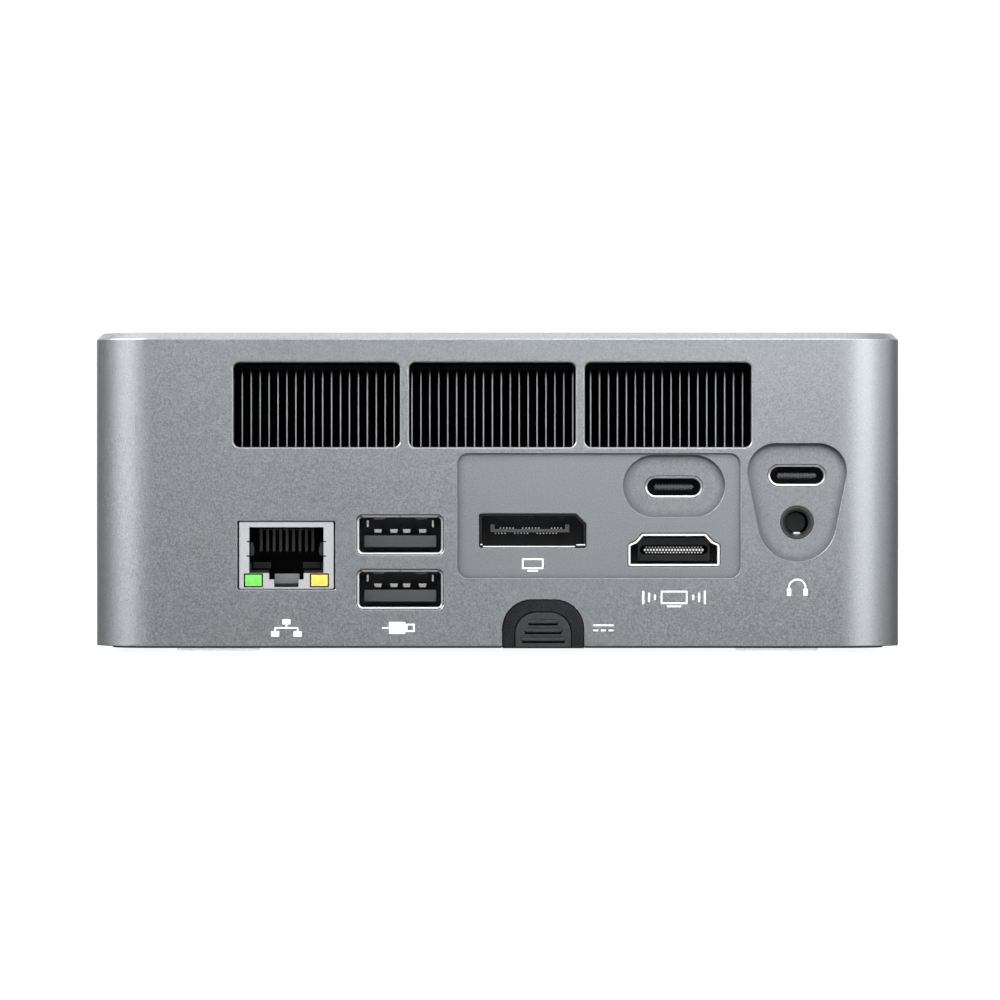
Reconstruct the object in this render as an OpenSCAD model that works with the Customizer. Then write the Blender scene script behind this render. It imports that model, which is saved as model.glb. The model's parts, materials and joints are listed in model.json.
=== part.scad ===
// Mini PC: a metal housing open at the bottom, a screwed-on base, a board that hangs in the middle,
// a blower and fin stack above the board, drives and memory below it, and ports front and rear.
// Origin: middle of the footprint, on the table. +Z up, -Y is the rear with the port field, +X is
// to the right when the rear is looked at. Millimetres.

/* [Housing] */
// Width of the housing, side to side
body_w = 126; // [125:0.5:130]
// Depth of the housing, rear to front
body_d = 113; // [113:0.5:118]
// Height of the housing, from its lower rim to its top
body_h = 49; // [49:0.5:54]
// Radius of the four upright corners
corner_r = 10; // [9.5:0.25:10.5]
// Chamfer round the top edge
top_chamfer = 1; // [0.6:0.1:1.4]
// Chamfer round the lower rim
rim_chamfer = 0.3; // [0.2:0.05:0.5]
// Thickness of the side and front walls
wall = 2.2; // [2:0.1:2.3]
// Thickness of the rear wall
rear_wall = 2.6; // [2.5:0.1:2.7]
// Thickness of the top
top_wall = 2.4; // [2:0.1:2.8]

/* [Base and feet] */
// Height of the base's underside over the table, which the feet make
foot_drop = 0.7; // [0.5:0.1:1]
// How far the base stands out below the housing's rim
base_proud = 0.3; // [0.2:0.1:0.4]
// Thickness of the base plate
base_t = 2; // [1.9:0.1:2.2]
// Radius of a rubber foot
foot_r = 6.5; // [5.5:0.5:7]
// Radius of the slotted air intake
grille_r = 32; // [28:1:33]
// Spacing of the bracket inserts, side to side
insert_dx = 90; // [88:1:92]
// Spacing of the bracket inserts, rear to front
insert_dy = 60; // [56:1:62]

/* [Vents and cooler] */
// Width of one vent window
vent_w = 26; // [24:0.5:26.2]
// Height of one vent window
vent_h = 13.2; // [12:0.2:13.4]
// Corner radius of a vent window
vent_r = 1; // [0.6:0.1:1.4]
// Spacing of the three vent windows
vent_pitch = 27.43; // [27.2:0.01:27.6]
// Middle of the middle window, off the housing's middle
vent_x = -0.8; // [-1.5:0.1:0]
// Height of the windows' middle
vent_z = 38.7; // [38.4:0.1:39]
// Spacing of the cooling fins
fin_pitch = 1.4; // [1.3:0.05:1.4]
// Thickness of a fin
fin_t = 0.25; // [0.2:0.05:0.35]
// Number of fins
fin_count = 61; // [57:2:61]

/* [Board] */
// Height of the board's underside
board_z = 22.6; // [22.6:0.1:22.7]
// Thickness of the board
board_t = 1.6; // [1.5:0.05:1.6]

/* [Rear ports] */
// Network socket, across
lan_x = -32.95; // [-33.5:0.05:-32.5]
// Network socket, height of its middle
lan_z = 15.2; // [15.1:0.05:15.3]
// Stacked data sockets, across
usb_x = -15.2; // [-15.5:0.05:-14.8]
// Upper data socket, height of its middle
usb_z = 18.4; // [18.3:0.05:18.5]
// Drop from the upper data socket to the lower one
usb_drop = 8.5; // [8:0.1:8.8]
// Notched video socket, across
notched_x = 5.5; // [5:0.1:6]
// Notched video socket, height of its middle
notched_z = 19.05; // [18.9:0.05:19.2]
// Shouldered video socket, across
shoulder_x = 27.56; // [27.2:0.02:28]
// Shouldered video socket, height of its middle
shoulder_z = 16.05; // [15.8:0.05:16.2]
// Height of the oval socket over the shouldered one
oval_z = 25.9; // [25.9:0.05:26]
// Right-hand column of sockets, across
side_x = 46.78; // [46.5:0.02:47]
// Right-hand oval socket, height of its middle
side_oval_z = 27.7; // [27.6:0.05:27.8]
// Headset socket, height of its middle
headset_z = 20.34; // [20.2:0.02:20.36]
// Power bay, across
dc_x = 7.13; // [7:0.01:7.3]

/* [Front] */
// Height of the row of front sockets and buttons
front_z = 19.5; // [19.3:0.1:19.5]
// Power button, across
button_x = -45; // [-45:0.5:-44]
// Radius of the power button
button_r = 5.4; // [5:0.1:5.4]
// Travel of the power button
button_travel = 0.5; // [0.3:0.1:0.5]
// Reset pinhole, across
reset_x = 44; // [43.5:0.5:45]

/* [Hidden] */
$fn = 64;

eps = 0.01;              // how far a cutter runs past the face it opens
slack = 0.05;            // gap round a piece that sits in another
cut_gap = 0.1;           // gap between a socket and its cut-out in the housing

// heights
base_z0 = foot_drop;
rim_z = base_z0 + base_proud;
base_z1 = base_z0 + base_t;
top_z = rim_z + body_h;
ceiling_z = top_z - top_wall;
board_top = board_z + board_t;

// rear, front and side faces
rear_y = -body_d / 2;
front_y = body_d / 2;
rear_in = rear_y + rear_wall;
front_in = front_y - wall;
side_in = body_w / 2 - wall;
inner_r = corner_r - wall;

// corner posts and their screws
post_x = body_w / 2 - 11.2;     // inner faces of the corner posts
post_y = body_d / 2 - 11.7;
screw_x = body_w / 2 - 7.6;
screw_y = body_d / 2 - 8.1;
boss_x = side_in - 4.8;         // bosses that the board hangs from
boss_ys = [-12, 30];
boss_r = 3.2;

// recesses in the rear wall
panel_x0 = -6.3;                // shallow field behind the video sockets
panel_x1 = 37.95;
panel_z0 = 11.6;
panel_z1 = 31.15;
panel_r = 1.7;
panel_deep = 0.5;
pocket_deep = 1.4;              // both plug pockets
oval_pocket = [16, 10.2];
pick_top_r = 4.5;               // pick-shaped pocket: two circles above, one below
pick_top_dx = 3.3;
pick_top_z = 28.23;
pick_low_r = 6.2;

// sockets
usb_out = [13.4, 6.1];
usb_sheet = 0.3;
usb_mouth_r = 0.9;
usb_tongue = [11.4, 1.86];
usb_tongue_drop = 1;            // tongue below the socket's middle
oval_out = [9, 3.3];
oval_sheet = 0.3;
oval_tongue = [6.6, 0.7];
oval_len = 8;
port_sheet = 0.35;
flush = 0.2;                    // how far a socket's mouth is behind the face round it
jack_bore_r = 1.8;
jack_collar_r = 2.6;
jack_len = 12;
lan_w = 14.8;
lan_h = 10.5;
lan_face_t = 0.4;
lan_mouth_w = 11.7;
led = [2.6, 1.8];
led_dx = 5.15;                  // lamps either side of the latch slot
led_z = -3.9;                   // and below the socket's middle
led_len = 5;
lan_back = -36;

// power bay
dc_out_w = 12.76;
dc_out_top = 8.32;
dc_out_r = 4.6;
dc_in_w = 8.75;
dc_in_top = 6.31;
dc_in_r = 3.3;
dc_back = -46;
cap_face = rear_y + 0.3;
cap_back = -51.6;
inlet_face = -50.4;
rib_h = 0.75;
rib_proud = 0.25;
// each rib: width, height of its middle
cap_ribs = [[4.6, 4.67], [5.7, 3.3], [6.7, 1.91]];

// cooler
cooler_z = 27.9;                // underside of the vapour chamber
chamber_t = 1.6;
chamber_w = 85.4;
chamber_front = 18;
fin_z0 = cooler_z + chamber_t;
fin_z1 = 44.2;
cover_t = 0.8;
fin_y0 = rear_in + 2.9;
fin_len = 17.6;
cpu_at = [-4, -10];
cpu_hole = 19;                  // cooler screws, off the processor's middle
blower_at = [-0.8, 7];
blower_w = 80.4;
blower_y0 = fin_y0 + fin_len + 0.2;
blower_y1 = 45;
volute_r = 34.5;
wheel_r = 31;
wheel_hub_r = 13;
blade_count = 37;
shaft_r = 1;
bearing_r = 1.06;

// intake fan under the board
intake_at = [0, 8];
intake_w = 70;
filter_t = 0.4;
intake_z0 = base_z1 + filter_t;
intake_z1 = intake_z0 + 7;
intake_r = 32.5;
intake_hub_r = 12.5;
intake_blades = 9;
peg_d = 32;                     // pegs that hold the intake fan, off its middle

// memory and cards under the board
memory_y = 39.6;                // plugged-in edge of a module
memory_w = 67.6;
memory_len = 30;
memory_t = 1.2;
memory_zs = [18.2, 13.6];
ssd_at = [2, -4];
ssd_size = [80, 22];
ssd_z = 17.6;
wifi_at = [37, -28];
wifi_size = [30, 22];
wifi_z = 19.6;
card_t = 0.8;
socket_bite = 2.5;              // how deep a card sits in its socket

// ---------------------------------------------------------------- helpers

// Rectangle with round corners, about the origin
module round_rect(w, h, r) {
    square([w - 2 * r, h], center = true);
    square([w, h - 2 * r], center = true);
    for (sx = [-1, 1], sy = [-1, 1])
        translate([sx * (w / 2 - r), sy * (h / 2 - r)]) circle(r);
}

// Bar with round ends, about the origin
module bar(w, h) {
    square([w - h, h], center = true);
    for (s = [-1, 1]) translate([s * (w - h) / 2, 0]) circle(h / 2);
}

// Arch that stands on a flat foot: w wide, from z0 to z1, with round shoulders
module arch(w, z0, z1, r) intersection() {
    translate([-w / 2, z0]) square([w, z1 - z0]);
    union() {
        translate([-w / 2, z0]) square([w, z1 - r - z0]);
        translate([-w / 2 + r, z0]) square([w - 2 * r, z1 - z0]);
        for (s = [-1, 1]) translate([s * (w / 2 - r), z1 - r]) circle(r);
    }
}

// A shape drawn in X and Z, made solid from y0 to y1
module upright(y0, y1) {
    translate([0, y1, 0]) rotate([90, 0, 0]) linear_extrude(y1 - y0) children();
}

// A shape drawn in X and Y, made solid from z0 to z1
module flat(z0, z1) {
    translate([0, 0, z0]) linear_extrude(z1 - z0) children();
}

// Box between two corners
module block(a, b) {
    translate(a) cube(b - a);
}

// Outward normal of an edge of an anticlockwise outline
function edge_normal(a, b) = let (d = (b - a) / norm(b - a)) [d[1], -d[0]];

// An anticlockwise outline, moved outward by g
function grown(pts, g) = let (n = len(pts)) [
    for (i = [0 : n - 1])
        let (m = edge_normal(pts[(i + n - 1) % n], pts[i]), k = edge_normal(pts[i], pts[(i + 1) % n]))
            pts[i] + g * (m + k) / (1 + m * k)
];

// Normal of the line that touches two circles on their right-hand side, going down
function tangent_normal(c1, r1, c2, r2) =
    let (d = c2 - c1, u = d / norm(d), s = (r1 - r2) / norm(d)) u * s + [-u[1], u[0]] * sqrt(1 - s * s);

// ---------------------------------------------------------------- housing

// Profile of the housing's wall line: span wide, with both edge chamfers
function chamfered(span) = [
    [-span / 2 + rim_chamfer, rim_z], [span / 2 - rim_chamfer, rim_z],
    [span / 2, rim_z + rim_chamfer], [span / 2, top_z - top_chamfer],
    [span / 2 - top_chamfer, top_z], [-span / 2 + top_chamfer, top_z],
    [-span / 2, top_z - top_chamfer], [-span / 2, rim_z + rim_chamfer]
];

module housing_block() {
    corner = [
        [0, rim_z], [corner_r - rim_chamfer, rim_z], [corner_r, rim_z + rim_chamfer],
        [corner_r, top_z - top_chamfer], [corner_r - top_chamfer, top_z], [0, top_z]
    ];
    rotate([90, 0, 0])
        linear_extrude(body_d - 2 * corner_r, center = true) polygon(chamfered(body_w));
    rotate([90, 0, 90])
        linear_extrude(body_w - 2 * corner_r, center = true) polygon(chamfered(body_d));
    for (sx = [-1, 1], sy = [-1, 1])
        translate([sx * (body_w / 2 - corner_r), sy * (body_d / 2 - corner_r), 0])
            rotate_extrude() polygon(corner);
}

// Plan of the space inside the walls, less a gap all round
module inside_plan(gap = 0) {
    translate([0, (rear_in + front_in) / 2])
        round_rect(2 * (side_in - gap), front_in - rear_in - 2 * gap, inner_r - gap);
}

module corner_posts() {
    intersection() {
        flat(base_z1, ceiling_z + 1) round_rect(body_w - 1, body_d - 1, corner_r - 0.5);
        union() for (sx = [-1, 1], sy = [-1, 1])
            translate([sx * (post_x + 10), sy * (post_y + 10), 0]) flat(0, top_z) square(20, center = true);
    }
}

module board_bosses() {
    for (sx = [-1, 1], y = boss_ys)
        translate([sx * boss_x, y, board_top]) cylinder(r = boss_r, h = ceiling_z + 1 - board_top);
}

// Outline of the pick-shaped pocket round the right-hand sockets
module pick_outline() {
    top = [pick_top_dx, pick_top_z];
    low = [0, headset_z];
    n = tangent_normal(top, pick_top_r, low, pick_low_r);
    right = [[pick_top_dx, pick_top_z + pick_top_r], top + n * pick_top_r, low + n * pick_low_r];
    for (s = [-1, 1]) translate([s * top[0], top[1]]) circle(pick_top_r);
    translate(low) circle(pick_low_r);
    polygon([for (i = [2, 1, 0]) right[i], for (p = right) [-p[0], p[1]]]);
}

// Outlines of the two video sockets, anticlockwise, about their own middles
notched_outline = [[-8.3, -2.6], [8.3, -2.6], [8.3, 1.05], [6.75, 2.6], [-8.3, 2.6]];
shoulder_outline = [
    [-7.13, -2.53], [7.13, -2.53], [7.13, 0.85], [6, 1.35], [4.97, 2.53],
    [-4.97, 2.53], [-6, 1.35], [-7.13, 0.85]
];

module rear_recesses() {
    panel = [(panel_x0 + panel_x1) / 2, (panel_z0 + panel_z1) / 2];
    upright(rear_y - 1, rear_y + panel_deep)
        translate(panel) round_rect(panel_x1 - panel_x0, panel_z1 - panel_z0, panel_r);
    upright(rear_y - 1, rear_y + pocket_deep)
        translate([shoulder_x, panel_z1 - oval_pocket[1] / 2]) bar(oval_pocket[0], oval_pocket[1]);
    upright(rear_y - 1, rear_y + pocket_deep) translate([side_x, 0]) pick_outline();
}

module rear_cutouts() {
    upright(rear_y - 1, rear_in + eps) {
        for (i = [-1 : 1]) translate([vent_x + i * vent_pitch, vent_z]) round_rect(vent_w, vent_h, vent_r);
        translate([lan_x, lan_z]) square([lan_w + 0.5, lan_h + 0.2], center = true);
        for (i = [0, 1]) translate([usb_x, usb_z - i * usb_drop])
            round_rect(usb_out[0] + 2 * cut_gap, usb_out[1] + 2 * cut_gap, usb_mouth_r + cut_gap);
        translate([notched_x, notched_z]) polygon(grown(notched_outline, cut_gap));
        translate([shoulder_x, shoulder_z]) polygon(grown(shoulder_outline, cut_gap + 0.05));
        for (at = [[shoulder_x, oval_z], [side_x, side_oval_z]]) translate(at)
            bar(oval_out[0] + 2 * cut_gap, oval_out[1] + 2 * cut_gap);
        translate([side_x, headset_z]) circle(jack_collar_r + slack);
        translate([dc_x, 0]) arch(dc_out_w + 2 * slack, rim_z - 1, dc_out_top + slack, dc_out_r + slack);
    }
}

front_usb_xs = [-17, 2];
front_oval_x = 20;
front_jack_x = 33;
ring_r = 6.3;
pinhole_r = 0.7;

module front_cutouts() {
    upright(front_in - eps, front_y + 1) {
        for (x = front_usb_xs) translate([x, front_z])
            round_rect(usb_out[0] + 2 * cut_gap, usb_out[1] + 2 * cut_gap, usb_mouth_r + cut_gap);
        translate([front_oval_x, front_z]) bar(oval_out[0] + 2 * cut_gap, oval_out[1] + 2 * cut_gap);
        translate([front_jack_x, front_z]) circle(jack_collar_r + slack);
        translate([button_x, front_z]) circle(ring_r + slack);
        translate([reset_x, front_z]) circle(pinhole_r);
    }
}

module housing_shell() color([0.56, 0.58, 0.60]) difference() {
    union() {
        difference() {
            housing_block();
            flat(rim_z - 1, ceiling_z) inside_plan();
        }
        corner_posts();
        board_bosses();
    }
    rear_recesses();
    rear_cutouts();
    front_cutouts();
    for (sx = [-1, 1], sy = [-1, 1]) translate([sx * screw_x, sy * screw_y, base_z1 - 1])
        cylinder(r = 1.5, h = 13);
    for (sx = [-1, 1], y = boss_ys) translate([sx * boss_x, y, board_top - 1])
        cylinder(r = 1.25, h = 9);
}

// ---------------------------------------------------------------- base

foot_at = [44, 43.5];
foot_bed = base_z0 + 1.2;       // roof of the recess that a foot is glued in
head_r = 2.8;                   // base screw heads
head_z = base_z0 + 1.4;

// Slots of the air intake, cut to a circle
module grille_slots() {
    slot_w = 2.2;
    slot_pitch = 4;
    rows = floor((grille_r - slot_w) / slot_pitch);
    for (i = [-rows : rows])
        let (y = i * slot_pitch, half = sqrt(pow(grille_r, 2) - pow(abs(y) + slot_w / 2, 2)), rib = 1.1)
            for (s = [-1, 1]) translate([s * (half + rib) / 2, y]) bar(half - rib, slot_w);
}

module base_cover() color([0.09, 0.09, 0.1]) {
    difference() {
        union() {
            flat(base_z0, base_z1) inside_plan(0.15);
            for (sx = [-1, 1], sy = [-1, 1])
                translate([sx * insert_dx / 2, sy * insert_dy / 2, base_z0]) cylinder(r = 3.8, h = 5.8);
            for (sx = [-1, 1], sy = [-1, 1])
                translate([intake_at[0] + sx * peg_d, intake_at[1] + sy * peg_d, base_z1 - 1])
                    cylinder(r = 1.4, h = 4);
            for (s = [-1, 1])       // ribs that carry the aerials
                block([s * (side_in - 0.9) - 0.6, -22, base_z1 - 1], [s * (side_in - 0.9) + 0.6, 18, 14]);
        }
        translate(intake_at) flat(base_z0 - 1, base_z1 + 1) grille_slots();
        for (sx = [-1, 1], sy = [-1, 1]) {
            translate([sx * foot_at[0], sy * foot_at[1]])
                flat(base_z0 - 1, foot_bed) circle(foot_r + slack);
            translate([sx * screw_x, sy * screw_y, base_z0 - 1]) {
                cylinder(r = head_r + 0.2, h = head_z - base_z0 + 1);
                cylinder(r = 1.6, h = 5);
            }
            translate([sx * insert_dx / 2, sy * insert_dy / 2, base_z0 - 1]) cylinder(r = 2.25, h = 5.5);
        }
        block([dc_x - dc_out_w / 2 - 0.1, rear_y, 0],
              [dc_x + dc_out_w / 2 + 0.1, dc_back + 0.1, base_z1 + 1]);
    }
}

module rubber_feet() color([0.05, 0.05, 0.05])
    for (sx = [-1, 1], sy = [-1, 1]) translate([sx * foot_at[0], sy * foot_at[1], 0])
        rotate_extrude() polygon([
            [0, 0], [foot_r - 0.3, 0], [foot_r, 0.3], [foot_r, foot_bed], [0, foot_bed]
        ]);

module base_screws() color([0.2, 0.2, 0.21])
    for (sx = [-1, 1], sy = [-1, 1]) translate([sx * screw_x, sy * screw_y, 0]) difference() {
        union() {
            translate([0, 0, base_z0 + 0.2]) cylinder(r = head_r, h = head_z - base_z0 - 0.2);
            translate([0, 0, head_z - 0.5]) cylinder(r = 1.45, h = 10);
        }
        translate([0, 0, base_z0]) flat(0, 1) for (a = [0, 90]) rotate(a) square([3, 0.8], center = true);
    }

module bracket_inserts() color([0.78, 0.62, 0.3])
    for (sx = [-1, 1], sy = [-1, 1]) translate([sx * insert_dx / 2, sy * insert_dy / 2, base_z0])
        difference() {
            cylinder(r = 2.2, h = 4.5);
            translate([0, 0, -1]) cylinder(r = 1.25, h = 7);
        }

module dust_filter() color([0.07, 0.07, 0.08]) flat(base_z1, intake_z0) translate(intake_at) difference() {
    round_rect(intake_w - 1, intake_w - 1, 4);
    for (sx = [-1, 1], sy = [-1, 1]) translate([sx * peg_d, sy * peg_d]) circle(1.5);
}

// ---------------------------------------------------------------- intake fan

module intake_fan_frame() color([0.1, 0.1, 0.11]) translate([intake_at[0], intake_at[1], intake_z0]) {
    h = intake_z1 - intake_z0;
    floor_t = 1;
    difference() {
        flat(0, h) round_rect(intake_w, intake_w, 4);
        flat(-1, h + 1) circle(intake_r);
        for (sx = [-1, 1], sy = [-1, 1]) translate([sx * peg_d, sy * peg_d]) flat(-1, h + 1) circle(1.5);
    }
    difference() {
        union() {
            flat(0, floor_t) circle(intake_hub_r - 0.5);
            for (a = [45 : 90 : 315]) rotate(a)
                flat(0, floor_t) translate([8, -1.5]) square([intake_r - 7, 3]);
            flat(0, 5) circle(9);
        }
        flat(floor_t / 2, h) circle(bearing_r);
    }
}

module intake_fan_rotor() color([0.12, 0.12, 0.13]) translate([intake_at[0], intake_at[1], intake_z0]) {
    cup_z0 = 1.5;
    cup_z1 = 6.6;
    difference() {
        flat(cup_z0, cup_z1) circle(intake_hub_r);
        flat(cup_z0 - 1, cup_z1 - 0.9) circle(intake_hub_r - 1.5);
    }
    flat(0.8, cup_z1 - 0.5) circle(shaft_r);
    for (i = [0 : intake_blades - 1]) rotate(i * 360 / intake_blades)
        translate([intake_hub_r + 9, 0, 4.05]) rotate([34, 0, 0]) cube([19.6, 8.4, 0.9], center = true);
}

// ---------------------------------------------------------------- board

board_front = front_y - 4.9;
board_rear = rear_in + 1;
cpu_corners = [for (sx = [-1, 1], sy = [-1, 1]) cpu_at + [sx, sy] * cpu_hole];
ssd_screw = [ssd_at[0] - ssd_size[0] / 2, ssd_at[1]];
wifi_screw = [wifi_at[0] - wifi_size[0] / 2, wifi_at[1]];

module mainboard() color([0.05, 0.16, 0.11]) {
    difference() {
        flat(board_z, board_top) difference() {
            translate([-side_in + 1, board_rear]) square([2 * side_in - 2, board_front - board_rear]);
            for (sx = [-1, 1], sy = [-1, 1]) translate([sx * (post_x + 9.5), sy * (post_y + 9.5)])
                square(20, center = true);
            for (sx = [-1, 1], y = boss_ys) translate([sx * boss_x, y]) circle(1.4);
            for (p = cpu_corners) translate(p) circle(1.4);
        }
        for (p = [ssd_screw, wifi_screw]) translate([p[0], p[1], board_z - 1]) cylinder(r = 1.05, h = 2);
    }
    for (p = [[ssd_screw, ssd_z], [wifi_screw, wifi_z]]) difference() {
        translate([p[0][0], p[0][1], p[1] + card_t]) cylinder(r = 2.5, h = board_z - p[1] - card_t + 0.2);
        translate([p[0][0], p[0][1], p[1]]) cylinder(r = 1.05, h = 9);
    }
}

module board_screws() color([0.7, 0.7, 0.72])
    for (sx = [-1, 1], y = boss_ys) translate([sx * boss_x, y, 0]) {
        flat(board_z - 1.3, board_z) circle(2.4);
        flat(board_z - 0.5, board_top + 6.5) circle(1.2);
    }

module processor() color([0.35, 0.36, 0.38]) translate([cpu_at[0], cpu_at[1], board_top]) {
    flat(0, 1.2) square([25, 35], center = true);
    flat(1.2, cooler_z - 1.7 - board_top) square([12, 18], center = true);
}

module cpu_backplate() color([0.5, 0.51, 0.53]) flat(board_z - 1, board_z) difference() {
    translate(cpu_at) round_rect(44, 44, 3);
    translate(cpu_at) round_rect(22, 22, 2);
    for (p = cpu_corners) translate(p) circle(1.3);
}

module cooler_screws() color([0.7, 0.7, 0.72]) for (p = cpu_corners) translate([p[0], p[1], board_z - 1]) {
    flat(-1.2, 0) circle(2.4);
    flat(-0.5, 6.6) circle(1);
}

module power_chokes() color([0.25, 0.25, 0.27]) {
    for (x = [-34, 26], y = [-28 : 9 : 8])
        translate([x, y]) flat(board_top, board_top + 3.2) round_rect(7, 7, 1);
    for (y = [-30 : 8 : 10]) translate([48, y]) flat(board_top, board_top + 5.5) circle(3.1);
}

module memory_socket() color([0.08, 0.08, 0.09]) difference() {
    union() {
        block([-36.5, 36, 11.6], [36.5, 42, board_z]);
        for (s = [-1, 1], z = memory_zs)
            block([s * 35.65 - 0.85, 20, z - 0.6], [s * 35.65 + 0.85, 37, z + 1.8]);
    }
    for (z = memory_zs) block([-34, 35, z - slack], [34, memory_y + slack, z + memory_t + slack]);
}

module memory_module(z) color([0.05, 0.16, 0.11]) {
    flat(z, z + memory_t) translate([-memory_w / 2, memory_y - memory_len]) square([memory_w, memory_len]);
    for (x = [-24, -12, 12, 24]) flat(z - 1, z) translate([x, memory_y - 17]) round_rect(9, 12, 0.4);
}

module memory_module_upper() memory_module(memory_zs[0]);
module memory_module_lower() memory_module(memory_zs[1]);

// Card on its edge socket: size along X and Y, screw notch at the low-X end
module card(at, size, z) flat(z, z + card_t) difference() {
    translate(at) square(size, center = true);
    translate([at[0] - size[0] / 2, at[1]]) circle(1.4);
}

module ssd_module() color([0.06, 0.12, 0.2]) {
    card(ssd_at, ssd_size, ssd_z);
    for (x = [-20, 0]) flat(ssd_z - 1.4, ssd_z) translate([x, ssd_at[1]]) round_rect(14, 18, 0.4);
    flat(ssd_z - 1.2, ssd_z) translate([20, ssd_at[1]]) round_rect(13, 13, 0.4);
}

module wireless_card() color([0.06, 0.2, 0.12]) {
    card(wifi_at, wifi_size, wifi_z);
    flat(wifi_z - 1.6, wifi_z) translate([wifi_at[0] + 1, wifi_at[1]]) round_rect(17, 17, 0.6);
}

// Edge socket at a card's high-X end
module card_socket(at, size, z) difference() {
    edge = at[0] + size[0] / 2;
    block([edge - socket_bite, at[1] - size[1] / 2 - 1, z - 1],
          [edge + 3.5, at[1] + size[1] / 2 + 1, board_z]);
    block([edge - socket_bite - 1, at[1] - size[1] / 2 - slack, z - slack],
          [edge + slack, at[1] + size[1] / 2 + slack, z + card_t + slack]);
}

module card_sockets() color([0.08, 0.08, 0.09]) {
    card_socket(ssd_at, ssd_size, ssd_z);
    card_socket(wifi_at, wifi_size, wifi_z);
}

module card_screws() color([0.7, 0.7, 0.72])
    for (p = [[ssd_screw, ssd_z], [wifi_screw, wifi_z]]) translate([p[0][0], p[0][1], p[1]]) {
        flat(-0.7, 0) circle(2.2);
        flat(-0.3, 3.4) circle(1);
    }

module antennas() color([0.8, 0.55, 0.2]) for (s = [-1, 1])
    block([s * (side_in - 1.7) - 0.2, -18, 5], [s * (side_in - 1.7) + 0.2, 14, 12]);

module coin_cell() color([0.72, 0.73, 0.74])
    translate([-side_in + 11.6, 6]) flat(board_z - 3.2, board_z) circle(10);

// ---------------------------------------------------------------- cooler

module vapor_chamber() color([0.72, 0.42, 0.28]) difference() {
    union() {
        flat(cooler_z, fin_z0) translate([vent_x, (fin_y0 + chamber_front) / 2])
            round_rect(chamber_w, chamber_front - fin_y0, 2);
        flat(cooler_z - 1.7, cooler_z + 0.5) translate(cpu_at) round_rect(32, 32, 1);
        for (p = cpu_corners) translate(p) flat(board_top, cooler_z + 0.5) circle(2.6);
    }
    for (p = cpu_corners) translate(p) flat(board_top - 1, cooler_z + 0.8) circle(1.05);
}

// Comb of fins that shows through the three windows
module fin_stack() color([0.2, 0.2, 0.21]) {
    span = (fin_count - 1) * fin_pitch + fin_t;
    upright(fin_y0, fin_y0 + fin_len) translate([vent_x, 0]) {
        translate([-span / 2, fin_z0]) square([span, 0.5]);
        for (i = [0 : fin_count - 1])
            translate([-span / 2 + i * fin_pitch, fin_z0]) square([fin_t, fin_z1 - fin_z0]);
    }
}

// Plan of the space that the wheel turns in, with its outlet to the fins
module volute_plan() translate(blower_at) {
    outlet = blower_at[1] - blower_y0 + 1;
    circle(volute_r);
    translate([-volute_r, -outlet]) square([2 * volute_r, outlet]);
}

module blower_plan() translate([blower_at[0], (blower_y0 + blower_y1) / 2])
    round_rect(blower_w, blower_y1 - blower_y0, 3);

module blower_frame() color([0.1, 0.1, 0.11]) {
    flat(fin_z0, fin_z0 + 0.8) blower_plan();
    flat(fin_z0 + 0.7, fin_z1) difference() {
        blower_plan();
        volute_plan();
    }
    for (s = [-1, 1]) translate([blower_at[0] + s * 36.5, 40.5]) flat(board_top, fin_z0 + 0.4) circle(2.5);
}

module blower_cover() color([0.07, 0.07, 0.08]) flat(fin_z1, fin_z1 + cover_t) difference() {
    translate([blower_at[0], (fin_y0 + blower_y1) / 2]) round_rect(85.6, blower_y1 - fin_y0, 2);
    translate(blower_at) circle(25);
}

module blower_motor() color([0.4, 0.3, 0.2]) translate([blower_at[0], blower_at[1], fin_z0 + 0.8])
    difference() {
        cylinder(r = 10.5, h = 10.6);
        translate([0, 0, 1]) cylinder(r = bearing_r, h = 12);
    }

module blower_rotor() color([0.12, 0.12, 0.13]) translate([blower_at[0], blower_at[1], fin_z0]) {
    wheel_z0 = 1.8;
    wheel_z1 = 13.4;
    difference() {
        flat(wheel_z0, wheel_z1) circle(wheel_hub_r);
        flat(wheel_z0 - 1, wheel_z1 - 1.2) circle(wheel_hub_r - 1.4);
    }
    flat(2.3, wheel_z1 - 0.5) circle(shaft_r);
    flat(wheel_z0, wheel_z0 + 1) difference() {
        circle(wheel_r - 0.8);
        circle(wheel_hub_r - 0.5);
    }
    flat(wheel_z0, wheel_z1 - 1) for (i = [0 : blade_count - 1]) rotate(i * 360 / blade_count)
        translate([24, 0]) rotate(28) square([13.4, 0.7], center = true);
}

// ---------------------------------------------------------------- network socket

// Opening in the socket's metal face: plug mouth, lamp windows and latch slot
module lan_face_opening() {
    led_half = led[0] / 2 + 0.25;
    translate([-lan_mouth_w / 2, -2.75]) square([lan_mouth_w, 7.2]);
    translate([-led_dx - led_half, led_z - 1]) square([2 * (led_dx + led_half), led[1] + 0.4]);
    translate([-2.25, -lan_h / 2 - 1]) square([4.5, 3]);
}

// Room that the plug goes into, inside the black insert
module lan_plug_room() {
    translate([-lan_mouth_w / 2, -1]) square([lan_mouth_w, 5.3]);
    translate([-4.7, -2.2]) square([9.4, 2]);
    translate([-2.75, -3.8]) square([5.5, 3]);
    translate([-1.95, -4.7]) square([3.9, 2]);
}

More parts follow.
